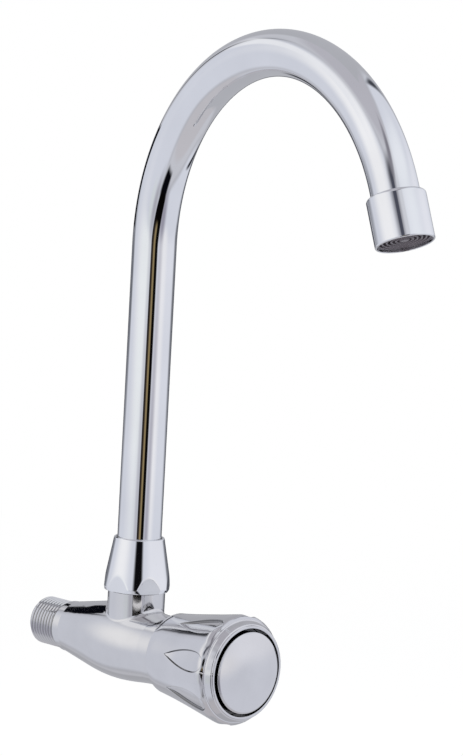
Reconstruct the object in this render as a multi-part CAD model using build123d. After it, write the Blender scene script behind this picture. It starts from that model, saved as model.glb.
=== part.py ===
from build123d import *
from math import cos, pi, radians, sin
import os

os.makedirs("parts", exist_ok=True)

# All lengths are in mm.  +Z is up, the wall is toward +Y and the knob toward -Y.
# The origin is on the inlet axis where the inlet thread meets its collar.

EDGE = 0.5                   # small chamfer that breaks the machined edges
RUN_GAP = 0.06               # radial clearance of parts that turn in one another
FACE_GAP = 0.05              # end play of parts that turn on one another
SCREW_GAP = 0.05             # radial clearance between a thread and what it is screwed into
FIT_GAP = 0.05               # radial clearance of parts that are pushed together and stay

# ---------------------------------------------------------------- inlet end of the body
THREAD_R = 20.955 / 2        # outside radius of the G 1/2 pipe thread
THREAD_PITCH = 1.814
THREAD_DEPTH = 1.162
THREAD_LEN = 17.2
THREAD_CREST = 0.26          # width of the flat left on each ridge
THREAD_LEAD = 0.8            # least length of the lead-in at the free end
LAND_LEN = 1.2               # plain part between the ridges and the collar
INLET_BORE_R = 7.2
COLLAR_STEP = 0.67           # how far the collar stands out past the thread
COLLAR_LEN = 3.9
COLLAR_R = THREAD_R + COLLAR_STEP

# ---------------------------------------------------------------- body
NECK_R = 15.0
BULB = [(COLLAR_R + 0.4, -COLLAR_LEN), (12.7, -10.0), (13.85, -16.0), (15.3, -23.8),
        (16.3, -32.0), (16.5, -38.0), (16.1, -46.0), (15.35, -53.5), (NECK_R, -59.0)]
BODY_FRONT_Y = -69.5
SEAT_Y = -31.0
CHAMBER_LEN = 21.5
CHAMBER_FRONT_Y = SEAT_Y - CHAMBER_LEN
NECK_WALL = 4.05
CARTRIDGE_BORE_R = NECK_R - NECK_WALL
CHAMBER_SPACE = 2.05         # how much wider the chamber is than the cartridge bore
CHAMBER_R = CARTRIDGE_BORE_R + CHAMBER_SPACE

# ---------------------------------------------------------------- spout, sizes across
TUBE_R = 9.5
TUBE_WALL = 1.2
FERRULE_FLANGE_R = TUBE_R + 1.0
SPIGOT_R = FERRULE_FLANGE_R + 0.5    # threaded part of the boss, under the spout nut
SPIGOT_WALL = 2.4
SOCKET_R = SPIGOT_R - SPIGOT_WALL    # bore that takes the spout ferrule
SPIGOT_RELIEF = 0.7
SPIGOT_RELIEF_LEN = 1.6
BOSS_SHOULDER = 1.3
BOSS_R = SPIGOT_R + BOSS_SHOULDER
BOSS_FILLET = 1.6
SWIVEL_Y = -41.2             # the spout turns about a vertical axis through this point
NUT_HOLE_GAP = 0.32
NUT_HOLE_R = TUBE_R + NUT_HOLE_GAP
NUT_TOP_R = NUT_HOLE_R + 1.0
NUT_BOTTOM_R = SPIGOT_R + 3.6
NUT_FLAT_DEPTH = 0.8
NUT_FLAT_R = NUT_BOTTOM_R - NUT_FLAT_DEPTH   # half of the width across the flats
NUT_FLAT_ANGLE = 10.2        # direction of one flat, from +X
NUT_BOTTOM_CHAMFER = (1.75, 1.9)
NUT_TOP_CHAMFER = 0.35

# ---------------------------------------------------------------- spout, heights and bend
BOSS_TOP_Z = 22.9
SPIGOT_LEN = 13.1
SPIGOT_TOP_Z = BOSS_TOP_Z + SPIGOT_LEN
WEAR_RING_T = 0.25
FERRULE_FLANGE_Z = SPIGOT_TOP_Z + WEAR_RING_T + FACE_GAP
FERRULE_FLANGE_T = 1.1
TUBE_BASE_Z = FERRULE_FLANGE_Z + FERRULE_FLANGE_T
FERRULE_DEPTH = 21.0         # how far the ferrule reaches down into the boss
FERRULE_BOTTOM_Z = SPIGOT_TOP_Z - FERRULE_DEPTH
FERRULE_STUB = 8.6           # how far the ferrule reaches up into the tube
FERRULE_TOP_Z = TUBE_BASE_Z + FERRULE_STUB
O_RING_GROOVE_DEPTH = 1.5
O_RING_GROOVE_R = SOCKET_R - O_RING_GROOVE_DEPTH
O_RING_GROOVE_W = 1.8
SPOUT_O_RING_Z = (FERRULE_BOTTOM_Z + 5.0, FERRULE_BOTTOM_Z + 12.0)
FERRULE_BORE_R = O_RING_GROOVE_R - 1.5
SLIP_RING_T = 1.15
NUT_SHOULDER_Z = TUBE_BASE_Z + FACE_GAP + SLIP_RING_T
NUT_NECK_LEN = 7.6
NUT_TOP_Z = NUT_SHOULDER_Z + NUT_NECK_LEN
NUT_UNDER_GAP = 0.45         # visible line between the nut and the boss
NUT_BOTTOM_Z = BOSS_TOP_Z + NUT_UNDER_GAP
UPRIGHT_LEN = 134.6
ARC_CENTRE_Z = TUBE_BASE_Z + UPRIGHT_LEN
ARC_R = 82.0
ARC_SWEEP = 157.3
TUBE_TAIL = 1.8              # straight length after the bend
SPOUT_YAW = -7.9             # the spout stands a little to one side of the knob axis

# ---------------------------------------------------------------- outlet
ADAPTER_R = TUBE_R + 0.5
ADAPTER_LEN = 8.5
ADAPTER_STUB = 4.5
ADAPTER_STUB_GAP = 0.1       # room for the braze, and for the start of the bend
ADAPTER_STUB_R = TUBE_R - TUBE_WALL - ADAPTER_STUB_GAP
ADAPTER_WALL = 1.6
ADAPTER_BORE_R = ADAPTER_STUB_R - ADAPTER_WALL
AERATOR_STEP = 0.75          # the housing's lower bore is wider than its thread
AERATOR_OUTLET_R = ADAPTER_R + AERATOR_STEP
AERATOR_WALL = 0.85
AERATOR_R = AERATOR_OUTLET_R + AERATOR_WALL
AERATOR_LEN = 19.3
AERATOR_SHOULDER = 1.3       # rounding of the upper edge
INSERT_FACE_INSET = 0.7
INSERT_LEN = 6.0
INSERT_R = AERATOR_OUTLET_R - 0.02
INSERT_RIM_WALL = 0.75
INSERT_FLOOR = 0.6           # the concentric rings start this far into the insert
RING_PITCH = 1.6
RING_COUNT = 5
RING_WALL = 0.62
HUB_R = 1.25
RIB_COUNT = 6
RIB_WALL = 0.7
RIB_INSET = 2.2
SCREEN_T = 0.5
SCREEN_HOLE_R = 0.55
SCREEN_PITCH = 1.75

# ---------------------------------------------------------------- cartridge, sizes across
CARTRIDGE_THREAD_R = CARTRIDGE_BORE_R - SCREW_GAP
BARREL_STEP = 0.65
BARREL_R = CARTRIDGE_THREAD_R - BARREL_STEP
BARREL_WALL = 1.4
BARREL_BORE_R = BARREL_R - BARREL_WALL
SEAL_R = BARREL_BORE_R - 0.15
SEAL_WALL = 3.1
DISC_R = BARREL_BORE_R - 0.05
MOVING_DISC_R = DISC_R - 0.2
DISC_PORT_IN_R = 2.2
DISC_PORT_RIM = 2.2          # solid edge of a disc outside its openings
DISC_PORT_ANGLE = 82.0
STEM_R = 4.5
STEM_SHOULDER_R = BARREL_BORE_R - 1.85
GLAND_WALL = 2.64
GLAND_R = STEM_R + RUN_GAP + GLAND_WALL
FLANGE_FLAT_R = NECK_R - 3.0
GASKET_R = NECK_R - 1.8
LUG_W = 2.4
LUG_LEN = 3.6
LUG_GAP = 0.05
LUG_MIDDLE = MOVING_DISC_R - 2.4
FOOT_W = 5.6
WINDOW_LEN = 6.0
WINDOW_W = 8.0
STEM_GROOVE_DEPTH = 1.4
STEM_GROOVE_W = 1.7
CLIP_GROOVE_DEPTH = 0.8
CLIP_T = 0.8
CLIP_W = 2.4
CLIP_GAP = 4.0
SPLINE_R = STEM_R - 0.6
SPLINE_DEPTH = 0.4
SPLINE_TEETH = 20

# ---------------------------------------------------------------- cartridge, places along
SEAL_LEN = 2.6
DISC_T = 2.9
LUG_T = 1.1
FOOT_LEN = 3.75
SHOULDER_LEN = 3.75
THRUST_T = 0.6
GASKET_T = 0.6
FLANGE_T = 3.5
GLAND_LEN = 4.6
BARREL_END_Y = SEAT_Y - 0.5
BARREL_TOP_Y = CHAMBER_FRONT_Y + 2.0
SEAL_END_Y = SEAT_Y - SEAL_LEN
FIXED_DISC_END_Y = SEAL_END_Y - DISC_T
MOVING_DISC_Y = FIXED_DISC_END_Y - FACE_GAP
MOVING_DISC_END_Y = MOVING_DISC_Y - DISC_T
SHOULDER_Y = MOVING_DISC_END_Y - FOOT_LEN
SHOULDER_END_Y = SHOULDER_Y - SHOULDER_LEN
BARREL_FLOOR_Y = SHOULDER_END_Y - THRUST_T - FACE_GAP
WINDOW_Y = BARREL_FLOOR_Y + 3.8
STEM_O_RING_Y = (BARREL_FLOOR_Y - 7.4, BARREL_FLOOR_Y - 13.4)
FLANGE_Y = BODY_FRONT_Y - GASKET_T
GLAND_END_Y = FLANGE_Y - FLANGE_T - GLAND_LEN
CLIP_Y = GLAND_END_Y - 0.1

# ---------------------------------------------------------------- knob and cap, sizes across
CAP_R = 17.15
CAP_SKIRT_WALL = 1.55
CAP_SEAT_R = CAP_R - CAP_SKIRT_WALL - FIT_GAP
CAP_SEAT_WALL = 1.95
FRONT_CAVITY_R = CAP_SEAT_R - CAP_SEAT_WALL
CAP_GAP = 1.35               # open ring between the cap and the knob
KNOB_HOLE_R = CAP_R + CAP_GAP
RIM_W = 4.8
RIM_R = KNOB_HOLE_R + RIM_W
SKIRT_GAP = 0.35
SKIRT_WALL = 1.5
SKIRT_BORE_R = NECK_R + SKIRT_GAP
KNOB_REAR_R = SKIRT_BORE_R + SKIRT_WALL
REAR_ROUNDING = (0.5, 0.6)
GRIP_REAR_R = KNOB_REAR_R + REAR_ROUNDING[0]
REAR_CAVITY_GAP = 0.45
REAR_CAVITY_R = FLANGE_FLAT_R / cos(pi / 6) + REAR_CAVITY_GAP
BUSH_R = STEM_R + 2.5        # half of the width across the bush's flats
SCREW_R = 1.95
SCREW_HOLE_R = SCREW_R + 0.1
SCREW_HEAD_R = 3.8
SCREW_HEAD_T = 2.6
SCREW_SLOT = (0.9, 1.4, 4.4)         # width, depth and length of the cross slot

# ---------------------------------------------------------------- knob and cap, places along
SKIRT_OVERLAP = 2.0          # the knob's skirt covers the body's neck
KNOB_REAR_Y = BODY_FRONT_Y + SKIRT_OVERLAP
SKIRT_BORE_END_Y = BODY_FRONT_Y - 2.3
REAR_CAVITY_DEPTH = 15.0
WEB_T = 8.5
WEB_REAR_Y = KNOB_REAR_Y - REAR_CAVITY_DEPTH
WEB_FRONT_Y = WEB_REAR_Y - WEB_T
GRIP_LEN = 36.5
RIM_DEPTH = 6.5
GRIP_START_Y = KNOB_REAR_Y - REAR_ROUNDING[1]
GRIP_END_Y = GRIP_START_Y - GRIP_LEN
KNOB_FRONT_Y = GRIP_END_Y - RIM_DEPTH
GROOVE_DEPTH = 6.6
GROOVE_FLOOR_Y = KNOB_FRONT_Y + GROOVE_DEPTH
CAP_SEAT_INSET = 2.1
CAP_SEAT_END_Y = KNOB_FRONT_Y + CAP_SEAT_INSET
CAP_STAND_OUT = 0.5
CAP_EDGE_Y = KNOB_FRONT_Y - CAP_STAND_OUT
CAP_DOME = 2.8
CAP_TOP_Y = CAP_EDGE_Y - CAP_DOME
CAP_SKIRT_GAP = 1.1
CAP_SKIRT_END_Y = GROOVE_FLOOR_Y - CAP_SKIRT_GAP
CAP_WALL = 1.4
BUSH_FLOOR = 0.8             # what is left of the web under the bush
BUSH_END_Y = WEB_FRONT_Y + BUSH_FLOOR
STEM_END_Y = BUSH_END_Y + 0.2
SPLINE_Y = WEB_REAR_Y + 2.0
SCREW_LEN = 11.0
SCREW_TIP_Y = WEB_FRONT_Y + SCREW_LEN

# The grip's flare: how much of the way out, at how much of the way forward.
GRIP_CURVE = [(0.0, 0.0), (0.126, 0.162), (0.277, 0.326), (0.454, 0.504), (0.647, 0.682),
              (0.807, 0.819), (0.933, 0.923), (1.0, 1.0)]
# The stepped rim: how much of its width, at how much of its depth.
RIM_CURVE = [(0.99, 0.077), (0.823, 0.277), (0.677, 0.477), (0.573, 0.485), (0.5625, 0.577),
             (0.396, 0.846), (0.26, 0.9615), (0.125, 1.0)]

RECESS_COUNT = 8
RECESS_ANGLE = 32.0          # direction of one recess round the knob, from +X toward +Z
RECESS_LEN = 25.3
RECESS_HALF_W = 4.3
RECESS_DEPTH = 0.84
RECESS_END_Y = GRIP_END_Y - 0.1
# Its outline: how much of the half width, at how much of the length from the pointed end.
RECESS_SIDE = [(0.0, 0.0), (0.337, 0.1265), (0.744, 0.36), (1.0, 0.6285), (0.988, 0.83),
               (0.686, 0.9565), (0.0, 1.0)]
# Its floor: how much of the depth, at how much of the length from the pointed end.
RECESS_FLOOR = [(-0.2, -0.032), (-0.074, 0.008), (0.343, 0.071), (0.743, 0.142), (0.994, 0.3),
                (0.992, 0.577), (1.02, 0.7945), (0.933, 0.917), (0.655, 1.02)]


def turned(points, along_z=False):
    """Solid of revolution about Y (or Z) from (radius, height) corners."""
    if along_z:
        corners = [(r, 0, h) for r, h in points]
        return revolve(make_face(Polyline(*corners, close=True)), Axis.Z)
    return revolve(make_face(Polyline(*points, close=True)), Axis.Y)


def ring(r_in, r_out, a, b, along_z=False):
    """Plain ring between the heights a and b."""
    return turned([(r_in, a), (r_out, a), (r_out, b), (r_in, b)], along_z)


def rod(r, a, b, along_z=False):
    """Plain round bar between the heights a and b."""
    return ring(0, r, a, b, along_z)


def round_ring(middle_r, section_r, at, along_z=False):
    """Ring with a round section."""
    torus = Torus(middle_r, section_r)
    return Pos(0, 0, at) * torus if along_z else Pos(0, at, 0) * Rot(90, 0, 0) * torus


def spin(shape, angle):
    """Turn a shape about the inlet axis, from +Z toward +X."""
    return Rot(0, angle, 0) * shape


def on_swivel(shape):
    """From the origin to the upright axis of the spout."""
    return Pos(0, SWIVEL_Y, 0) * shape


def along_y(corners, a, b):
    """Bar about Y between a and b, with an outline of (x, z) corners."""
    face = make_face(Polyline(*[(x, a, z) for x, z in corners], close=True))
    return extrude(face, amount=abs(b - a), dir=(0, 1 if b > a else -1, 0))


def sector(r_in, r_out, angle, a, b):
    """Block shaped like a piece of a ring, about Y, middle toward +Z."""
    half = radians(angle) / 2
    steps = [half * (i / 8 - 1) for i in range(17)]
    outer = [(r_out * sin(t), r_out * cos(t)) for t in steps]
    inner = [(r_in * sin(t), r_in * cos(t)) for t in reversed(steps)]
    return along_y(outer + inner, a, b)


def splined(r_out, r_root, a, b):
    """Bar about Y with a toothed outline."""
    corners = []
    for i in range(SPLINE_TEETH):
        for share, r in ((0.0, r_root), (0.25, r_out), (0.5, r_out), (0.75, r_root)):
            t = 2 * pi * (i + share) / SPLINE_TEETH
            corners.append((r * sin(t), r * cos(t)))
    return along_y(corners, a, b)


def hexagon(flat_r, a, b):
    """Six-sided bar about Y."""
    big = flat_r / cos(pi / 6)
    turns = [pi / 6 + i * pi / 3 for i in range(6)]
    return along_y([(big * sin(t), big * cos(t)) for t in turns], a, b)


# ================================================================ valve body
def thread_outline():
    """Ridges of the inlet thread as corners, from the free end to the collar."""
    root = THREAD_R - THREAD_DEPTH
    flank = (THREAD_PITCH - 2 * THREAD_CREST) / 2
    ridges = int((THREAD_LEN - LAND_LEN - THREAD_LEAD) / THREAD_PITCH)
    last = LAND_LEN + ridges * THREAD_PITCH
    corners = [(root, THREAD_LEN), (root + THREAD_CREST, THREAD_LEN - THREAD_CREST),
               (root, last + flank + 0.1)]
    for i in range(ridges, 0, -1):
        top = LAND_LEN + i * THREAD_PITCH
        corners += [(root, top + flank), (THREAD_R, top), (THREAD_R, top - THREAD_CREST),
                    (root, top - THREAD_CREST - flank)]
    return corners + [(root, LAND_LEN + flank), (THREAD_R, LAND_LEN), (THREAD_R, 0)]


def make_body():
    bulb_edge = Spline(*BULB)
    outline = Polyline(
        BULB[-1], (NECK_R, BODY_FRONT_Y + EDGE), (NECK_R - EDGE, BODY_FRONT_Y),
        (0, BODY_FRONT_Y), (0, THREAD_LEN), *thread_outline(),
        (COLLAR_R - 0.3, 0), (COLLAR_R, -0.3), (COLLAR_R, -COLLAR_LEN), BULB[0])
    shell = revolve(make_face(Wire([bulb_edge] + list(outline.edges()))), Axis.Y)
    body = shell + on_swivel(rod(BOSS_R, 0, BOSS_TOP_Z, along_z=True))
    # the curve where the boss grows out of the body is the one edge wholly between z 0 and the top
    joint = [e for e in body.edges()
             if e.bounding_box().min.Z > 0.01 and e.bounding_box().max.Z < BOSS_TOP_Z - 0.01]
    body = fillet(joint, BOSS_FILLET)
    relief_r = SPIGOT_R - SPIGOT_RELIEF
    relief_top = BOSS_TOP_Z + SPIGOT_RELIEF_LEN
    spigot = turned([
        (0, BOSS_TOP_Z - 1), (relief_r, BOSS_TOP_Z - 1), (relief_r, relief_top),
        (SPIGOT_R, relief_top + EDGE), (SPIGOT_R, SPIGOT_TOP_Z - EDGE),
        (SPIGOT_R - EDGE, SPIGOT_TOP_Z), (0, SPIGOT_TOP_Z)], along_z=True)
    body = body + on_swivel(spigot)
    hollow = turned([
        (0, THREAD_LEN + 1), (INLET_BORE_R, THREAD_LEN + 1), (INLET_BORE_R, SEAT_Y),
        (CHAMBER_R, SEAT_Y), (CHAMBER_R, CHAMBER_FRONT_Y), (CARTRIDGE_BORE_R, CHAMBER_FRONT_Y),
        (CARTRIDGE_BORE_R, BODY_FRONT_Y - 1), (0, BODY_FRONT_Y - 1)])
    body = body - hollow
    lead_r = SOCKET_R + EDGE
    socket = turned([
        (0, 0), (SOCKET_R, 0), (SOCKET_R, SPIGOT_TOP_Z - EDGE), (lead_r, SPIGOT_TOP_Z),
        (lead_r, SPIGOT_TOP_Z + 1), (0, SPIGOT_TOP_Z + 1)], along_z=True)
    return body - on_swivel(socket)


def make_seat_seal():
    return ring(SEAL_R - SEAL_WALL, SEAL_R, SEAT_Y, SEAL_END_Y)


# ================================================================ spout nut and its rings
def make_spout_nut():
    dr, dz = NUT_BOTTOM_CHAMFER
    outside = turned([
        (0, NUT_BOTTOM_Z), (NUT_BOTTOM_R - dr, NUT_BOTTOM_Z), (NUT_BOTTOM_R, NUT_BOTTOM_Z + dz),
        (NUT_TOP_R, NUT_TOP_Z - NUT_TOP_CHAMFER), (NUT_TOP_R - NUT_TOP_CHAMFER, NUT_TOP_Z),
        (0, NUT_TOP_Z)], along_z=True)
    tall = NUT_TOP_Z - NUT_BOTTOM_Z + 2
    flats = extrude(RegularPolygon(NUT_FLAT_R, 6, major_radius=False), amount=tall)
    flats = Pos(0, 0, NUT_BOTTOM_Z - 1) * Rot(0, 0, NUT_FLAT_ANGLE - 30) * flats
    thread_r = SPIGOT_R + SCREW_GAP
    inside = turned([
        (0, NUT_BOTTOM_Z - 1), (thread_r, NUT_BOTTOM_Z - 1), (thread_r, NUT_SHOULDER_Z),
        (NUT_HOLE_R, NUT_SHOULDER_Z), (NUT_HOLE_R, NUT_TOP_Z + 1), (0, NUT_TOP_Z + 1)], along_z=True)
    return on_swivel((outside & flats) - inside)


def make_slip_ring():
    bottom = NUT_SHOULDER_Z - SLIP_RING_T
    return on_swivel(ring(TUBE_R + RUN_GAP, SPIGOT_R, bottom, NUT_SHOULDER_Z, along_z=True))


def make_wear_ring():
    top = SPIGOT_TOP_Z + WEAR_RING_T
    return on_swivel(ring(SOCKET_R + EDGE + 0.1, FERRULE_FLANGE_R, SPIGOT_TOP_Z, top, along_z=True))


# ================================================================ spout
def place_spout(shape):
    """From the spout's own upright plane to its turned rest position."""
    return on_swivel(Rot(0, 0, SPOUT_YAW) * shape)


def outlet_frame():
    """Plane at the end of the tube, its z axis along the outflow."""
    a = radians(ARC_SWEEP)
    out_dir = (0, -sin(a), cos(a))
    y = -(ARC_R - ARC_R * cos(a)) - TUBE_TAIL * sin(a)
    z = ARC_CENTRE_Z + ARC_R * sin(a) + TUBE_TAIL * cos(a)
    return Plane(origin=(0, y, z), x_dir=(1, 0, 0), z_dir=out_dir)


def at_outlet(shape):
    """From the origin to the end of the tube, +Z along the outflow."""
    return place_spout(outlet_frame().location * shape)


def make_tube():
    end = outlet_frame().origin
    bend = CenterArc(center=(0, 0), radius=ARC_R, start_angle=0, arc_size=ARC_SWEEP)
    upright = Line((0, 0, TUBE_BASE_Z), (0, 0, ARC_CENTRE_Z))
    # the bend lies in the YZ plane, its first point on the upright
    plane = Plane(origin=(0, -ARC_R, ARC_CENTRE_Z), x_dir=(0, 1, 0), z_dir=(1, 0, 0))
    arc = plane.location * bend
    tail = Line(arc @ 1, end)
    path = Wire([upright.edge(), arc.edge(), tail.edge()])
    section = Pos(0, 0, TUBE_BASE_Z) * (Circle(TUBE_R) - Circle(TUBE_R - TUBE_WALL))
    return place_spout(sweep(section, path=path))


def make_ferrule():
    body_r = SOCKET_R - RUN_GAP
    stub_r = TUBE_R - TUBE_WALL - FIT_GAP
    bottom, top = FERRULE_BOTTOM_Z, TUBE_BASE_Z
    solid = turned([
        (FERRULE_BORE_R, bottom), (body_r - EDGE, bottom), (body_r, bottom + EDGE),
        (body_r, FERRULE_FLANGE_Z), (FERRULE_FLANGE_R, FERRULE_FLANGE_Z), (FERRULE_FLANGE_R, top - 0.3),
        (FERRULE_FLANGE_R - 0.3, top), (stub_r, top), (stub_r, FERRULE_TOP_Z - 1),
        (stub_r - 1, FERRULE_TOP_Z), (FERRULE_BORE_R, FERRULE_TOP_Z)], along_z=True)
    half = O_RING_GROOVE_W / 2
    for z in SPOUT_O_RING_Z:
        solid = solid - ring(O_RING_GROOVE_R, body_r + 1, z - half, z + half, along_z=True)
    return place_spout(solid)


def make_spout_o_rings():
    outer = SOCKET_R - 0.03
    section = (outer - O_RING_GROOVE_R) / 2
    rings = [round_ring(O_RING_GROOVE_R + section, section, z, along_z=True) for z in SPOUT_O_RING_Z]
    return place_spout(Compound(children=rings))


# ================================================================ outlet
def make_adapter():
    r = ADAPTER_STUB_R
    return at_outlet(turned([
        (ADAPTER_BORE_R, -ADAPTER_STUB), (r - EDGE, -ADAPTER_STUB), (r, EDGE - ADAPTER_STUB),
        (r, 0), (ADAPTER_R, 0), (ADAPTER_R, ADAPTER_LEN - EDGE), (ADAPTER_R - EDGE, ADAPTER_LEN),
        (ADAPTER_BORE_R, ADAPTER_LEN)], along_z=True))


def insert_span():
    """Start and end of the flow straightener, from the end of the tube."""
    end = AERATOR_LEN - INSERT_FACE_INSET
    return end - INSERT_LEN, end


def make_aerator_housing():
    start, _ = insert_span()
    step = start - SCREEN_T
    thread_r = ADAPTER_R + SCREW_GAP
    solid = turned([
        (thread_r, 0), (AERATOR_R, 0), (AERATOR_R, AERATOR_LEN - EDGE), (AERATOR_R - EDGE, AERATOR_LEN),
        (AERATOR_OUTLET_R, AERATOR_LEN), (AERATOR_OUTLET_R, step), (thread_r, step)], along_z=True)
    shoulder = [e for e in solid.edges().filter_by(GeomType.CIRCLE)
                if abs(e.radius - AERATOR_R) < 1e-6 and abs(e.center().Z) < 1e-6]
    return at_outlet(fillet(shoulder, AERATOR_SHOULDER))


def make_aerator_gasket():
    start, _ = insert_span()
    return at_outlet(ring(ADAPTER_BORE_R + 0.4, ADAPTER_R, ADAPTER_LEN, start - SCREEN_T, along_z=True))


def make_aerator_screen():
    start, _ = insert_span()
    row = SCREEN_PITCH * cos(pi / 6)
    disc = rod(INSERT_R, start - SCREEN_T, start, along_z=True)
    holes = []
    rows = int(INSERT_R / row)
    for j in range(-rows, rows + 1):
        for i in range(-rows - 1, rows + 2):
            x, y = (i + (j % 2) / 2) * SCREEN_PITCH, j * row
            if x * x + y * y < (ADAPTER_BORE_R + 0.2) ** 2:
                holes.append(Pos(x, y, start - SCREEN_T / 2) * Cylinder(SCREEN_HOLE_R, SCREEN_T * 2))
    return at_outlet(disc - holes)


def make_aerator_insert():
    start, end = insert_span()
    floor = start + INSERT_FLOOR
    solid = ring(INSERT_R - INSERT_RIM_WALL, INSERT_R, start, end, along_z=True)
    for i in range(RING_COUNT):
        middle = AERATOR_OUTLET_R - 1.4 - i * RING_PITCH
        solid = solid + ring(middle - RING_WALL / 2, middle + RING_WALL / 2, floor, end, along_z=True)
    solid = solid + rod(HUB_R, floor, end, along_z=True)
    top = end - RIB_INSET
    for i in range(RIB_COUNT // 2):
        rib = Box(2 * INSERT_R - INSERT_RIM_WALL, RIB_WALL, top - floor)
        solid = solid + Pos(0, 0, (top + floor) / 2) * Rot(0, 0, i * 360 / RIB_COUNT) * rib
    return at_outlet(solid)


# ================================================================ cartridge
def make_housing():
    outside = turned([
        (0, BARREL_END_Y), (BARREL_R - EDGE, BARREL_END_Y), (BARREL_R, BARREL_END_Y - EDGE),
        (BARREL_R, BARREL_TOP_Y), (CARTRIDGE_THREAD_R, BARREL_TOP_Y - EDGE),
        (CARTRIDGE_THREAD_R, FLANGE_Y), (GLAND_R, FLANGE_Y), (GLAND_R, GLAND_END_Y + EDGE),
        (GLAND_R - EDGE, GLAND_END_Y), (0, GLAND_END_Y)])
    hexed = hexagon(FLANGE_FLAT_R, FLANGE_Y, FLANGE_Y - FLANGE_T)
    stem_bore_r = STEM_R + RUN_GAP
    inside = turned([
        (0, BARREL_END_Y + 1), (BARREL_BORE_R, BARREL_END_Y + 1), (BARREL_BORE_R, BARREL_FLOOR_Y),
        (stem_bore_r, BARREL_FLOOR_Y), (stem_bore_r, GLAND_END_Y - 1), (0, GLAND_END_Y - 1)])
    solid = outside + hexed - inside
    core = rod(BARREL_BORE_R - EDGE, SEAT_Y, BARREL_FLOOR_Y)
    for angle in (0, 90):
        window = Pos(0, WINDOW_Y, 0) * Box(WINDOW_W, WINDOW_LEN, 2 * BARREL_R + 2)
        solid = solid - (spin(window, angle) - core)
    return solid


def make_gasket():
    return ring(CARTRIDGE_THREAD_R + 0.1, GASKET_R, BODY_FRONT_Y, FLANGE_Y)


def ports(a, b):
    """The two facing openings of a disc."""
    one = sector(DISC_PORT_IN_R, DISC_R - DISC_PORT_RIM, DISC_PORT_ANGLE, a, b)
    return [spin(one, 0), spin(one, 180)]


def make_fixed_disc():
    return rod(DISC_R, SEAL_END_Y, FIXED_DISC_END_Y) - ports(SEAL_END_Y + 1, FIXED_DISC_END_Y - 1)


def make_moving_disc():
    disc = rod(MOVING_DISC_R, MOVING_DISC_Y, MOVING_DISC_END_Y)
    # shut at rest: its openings stand a quarter turn from those of the fixed disc
    disc = disc - [spin(p, 90) for p in ports(MOVING_DISC_Y + 1, MOVING_DISC_END_Y - 1)]
    for side in (-1, 1):
        slot = Box(LUG_W + 2 * LUG_GAP, 2 * (LUG_T + LUG_GAP), LUG_LEN + 2 * LUG_GAP)
        disc = disc - Pos(0, MOVING_DISC_END_Y, side * LUG_MIDDLE) * slot
    return disc


def make_spindle():
    stem = turned([
        (0, SHOULDER_Y), (STEM_SHOULDER_R, SHOULDER_Y), (STEM_SHOULDER_R, SHOULDER_END_Y),
        (STEM_R, SHOULDER_END_Y), (STEM_R, SPLINE_Y), (0, SPLINE_Y)])
    foot = Pos(0, (MOVING_DISC_END_Y + SHOULDER_Y) / 2, 0) * Box(
        FOOT_W, MOVING_DISC_END_Y - SHOULDER_Y, 2 * MOVING_DISC_R)
    foot = foot & rod(MOVING_DISC_R - 0.1, MOVING_DISC_END_Y, SHOULDER_Y)
    solid = stem + foot
    for side in (-1, 1):
        lug = Box(LUG_W, LUG_T, LUG_LEN)
        solid = solid + Pos(0, MOVING_DISC_END_Y + LUG_T / 2, side * LUG_MIDDLE) * lug
    half, groove_r = STEM_GROOVE_W / 2, STEM_R - STEM_GROOVE_DEPTH
    for y in STEM_O_RING_Y:
        solid = solid - ring(groove_r, STEM_R + 1, y - half, y + half)
    solid = solid - ring(STEM_R - CLIP_GROOVE_DEPTH, STEM_R + 1, CLIP_Y - CLIP_T - FIT_GAP, CLIP_Y + FIT_GAP)
    solid = solid + splined(SPLINE_R, SPLINE_R - SPLINE_DEPTH, SPLINE_Y, STEM_END_Y)
    return solid - rod(SCREW_HOLE_R, SCREW_TIP_Y + 1, STEM_END_Y - 1)


def make_stem_o_rings():
    inner = STEM_R - STEM_GROOVE_DEPTH
    section = (STEM_R + 0.03 - inner) / 2
    return Compound(children=[round_ring(inner + section, section, y) for y in STEM_O_RING_Y])


def make_thrust_washer():
    near = BARREL_FLOOR_Y + FACE_GAP / 2
    return ring(STEM_R + 0.1, STEM_SHOULDER_R + 1.2, near + THRUST_T, near)


def make_clip():
    inner = STEM_R - CLIP_GROOVE_DEPTH + FIT_GAP
    outer = inner + CLIP_W
    mouth = Pos(0, CLIP_Y - CLIP_T / 2, outer) * Box(CLIP_GAP, CLIP_T * 2, 2 * outer - inner)
    return ring(inner, outer, CLIP_Y, CLIP_Y - CLIP_T) - mouth


# ================================================================ knob
def grip_profile():
    """Corners of the flaring grip, from the rear edge to the rim."""
    out = RIM_R - GRIP_REAR_R
    return [(GRIP_REAR_R + r * out, GRIP_START_Y - d * GRIP_LEN) for r, d in GRIP_CURVE]


def grip_radius(grip_edge, y):
    """Radius of the grip at one place along the knob."""
    low, high = 0.0, 1.0
    for _ in range(30):
        middle = (low + high) / 2
        low, high = (middle, high) if (grip_edge @ middle).Y > y else (low, middle)
    return (grip_edge @ low).X


def recess_tool(grip_edge):
    """One pointed, leaf-shaped recess of the grip, its middle toward +Z."""
    def y_at(share):
        return RECESS_END_Y + RECESS_LEN * (1 - share)

    side = Spline(*[(w * RECESS_HALF_W, y_at(d)) for w, d in RECESS_SIDE],
                  tangents=[(0.45, -1), (-1, 0)])
    other = mirror(side, about=Plane.YZ)
    leaf = extrude(make_face(Wire([side.edge(), other.edge()])), amount=RIM_R + 5)
    floor = [(grip_radius(grip_edge, y_at(d)) - h * RECESS_DEPTH, y_at(d)) for h, d in RECESS_FLOOR]
    (r0, y0), (r1, y1) = floor[0], floor[-1]
    back = Polyline((r1, y1), (r1, y1 - 2), (0, y1 - 2), (0, y0 + 2), (r0, y0 + 2), (r0, y0))
    return leaf - revolve(make_face(Wire([Spline(*floor).edge()] + list(back.edges()))), Axis.Y)


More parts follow.
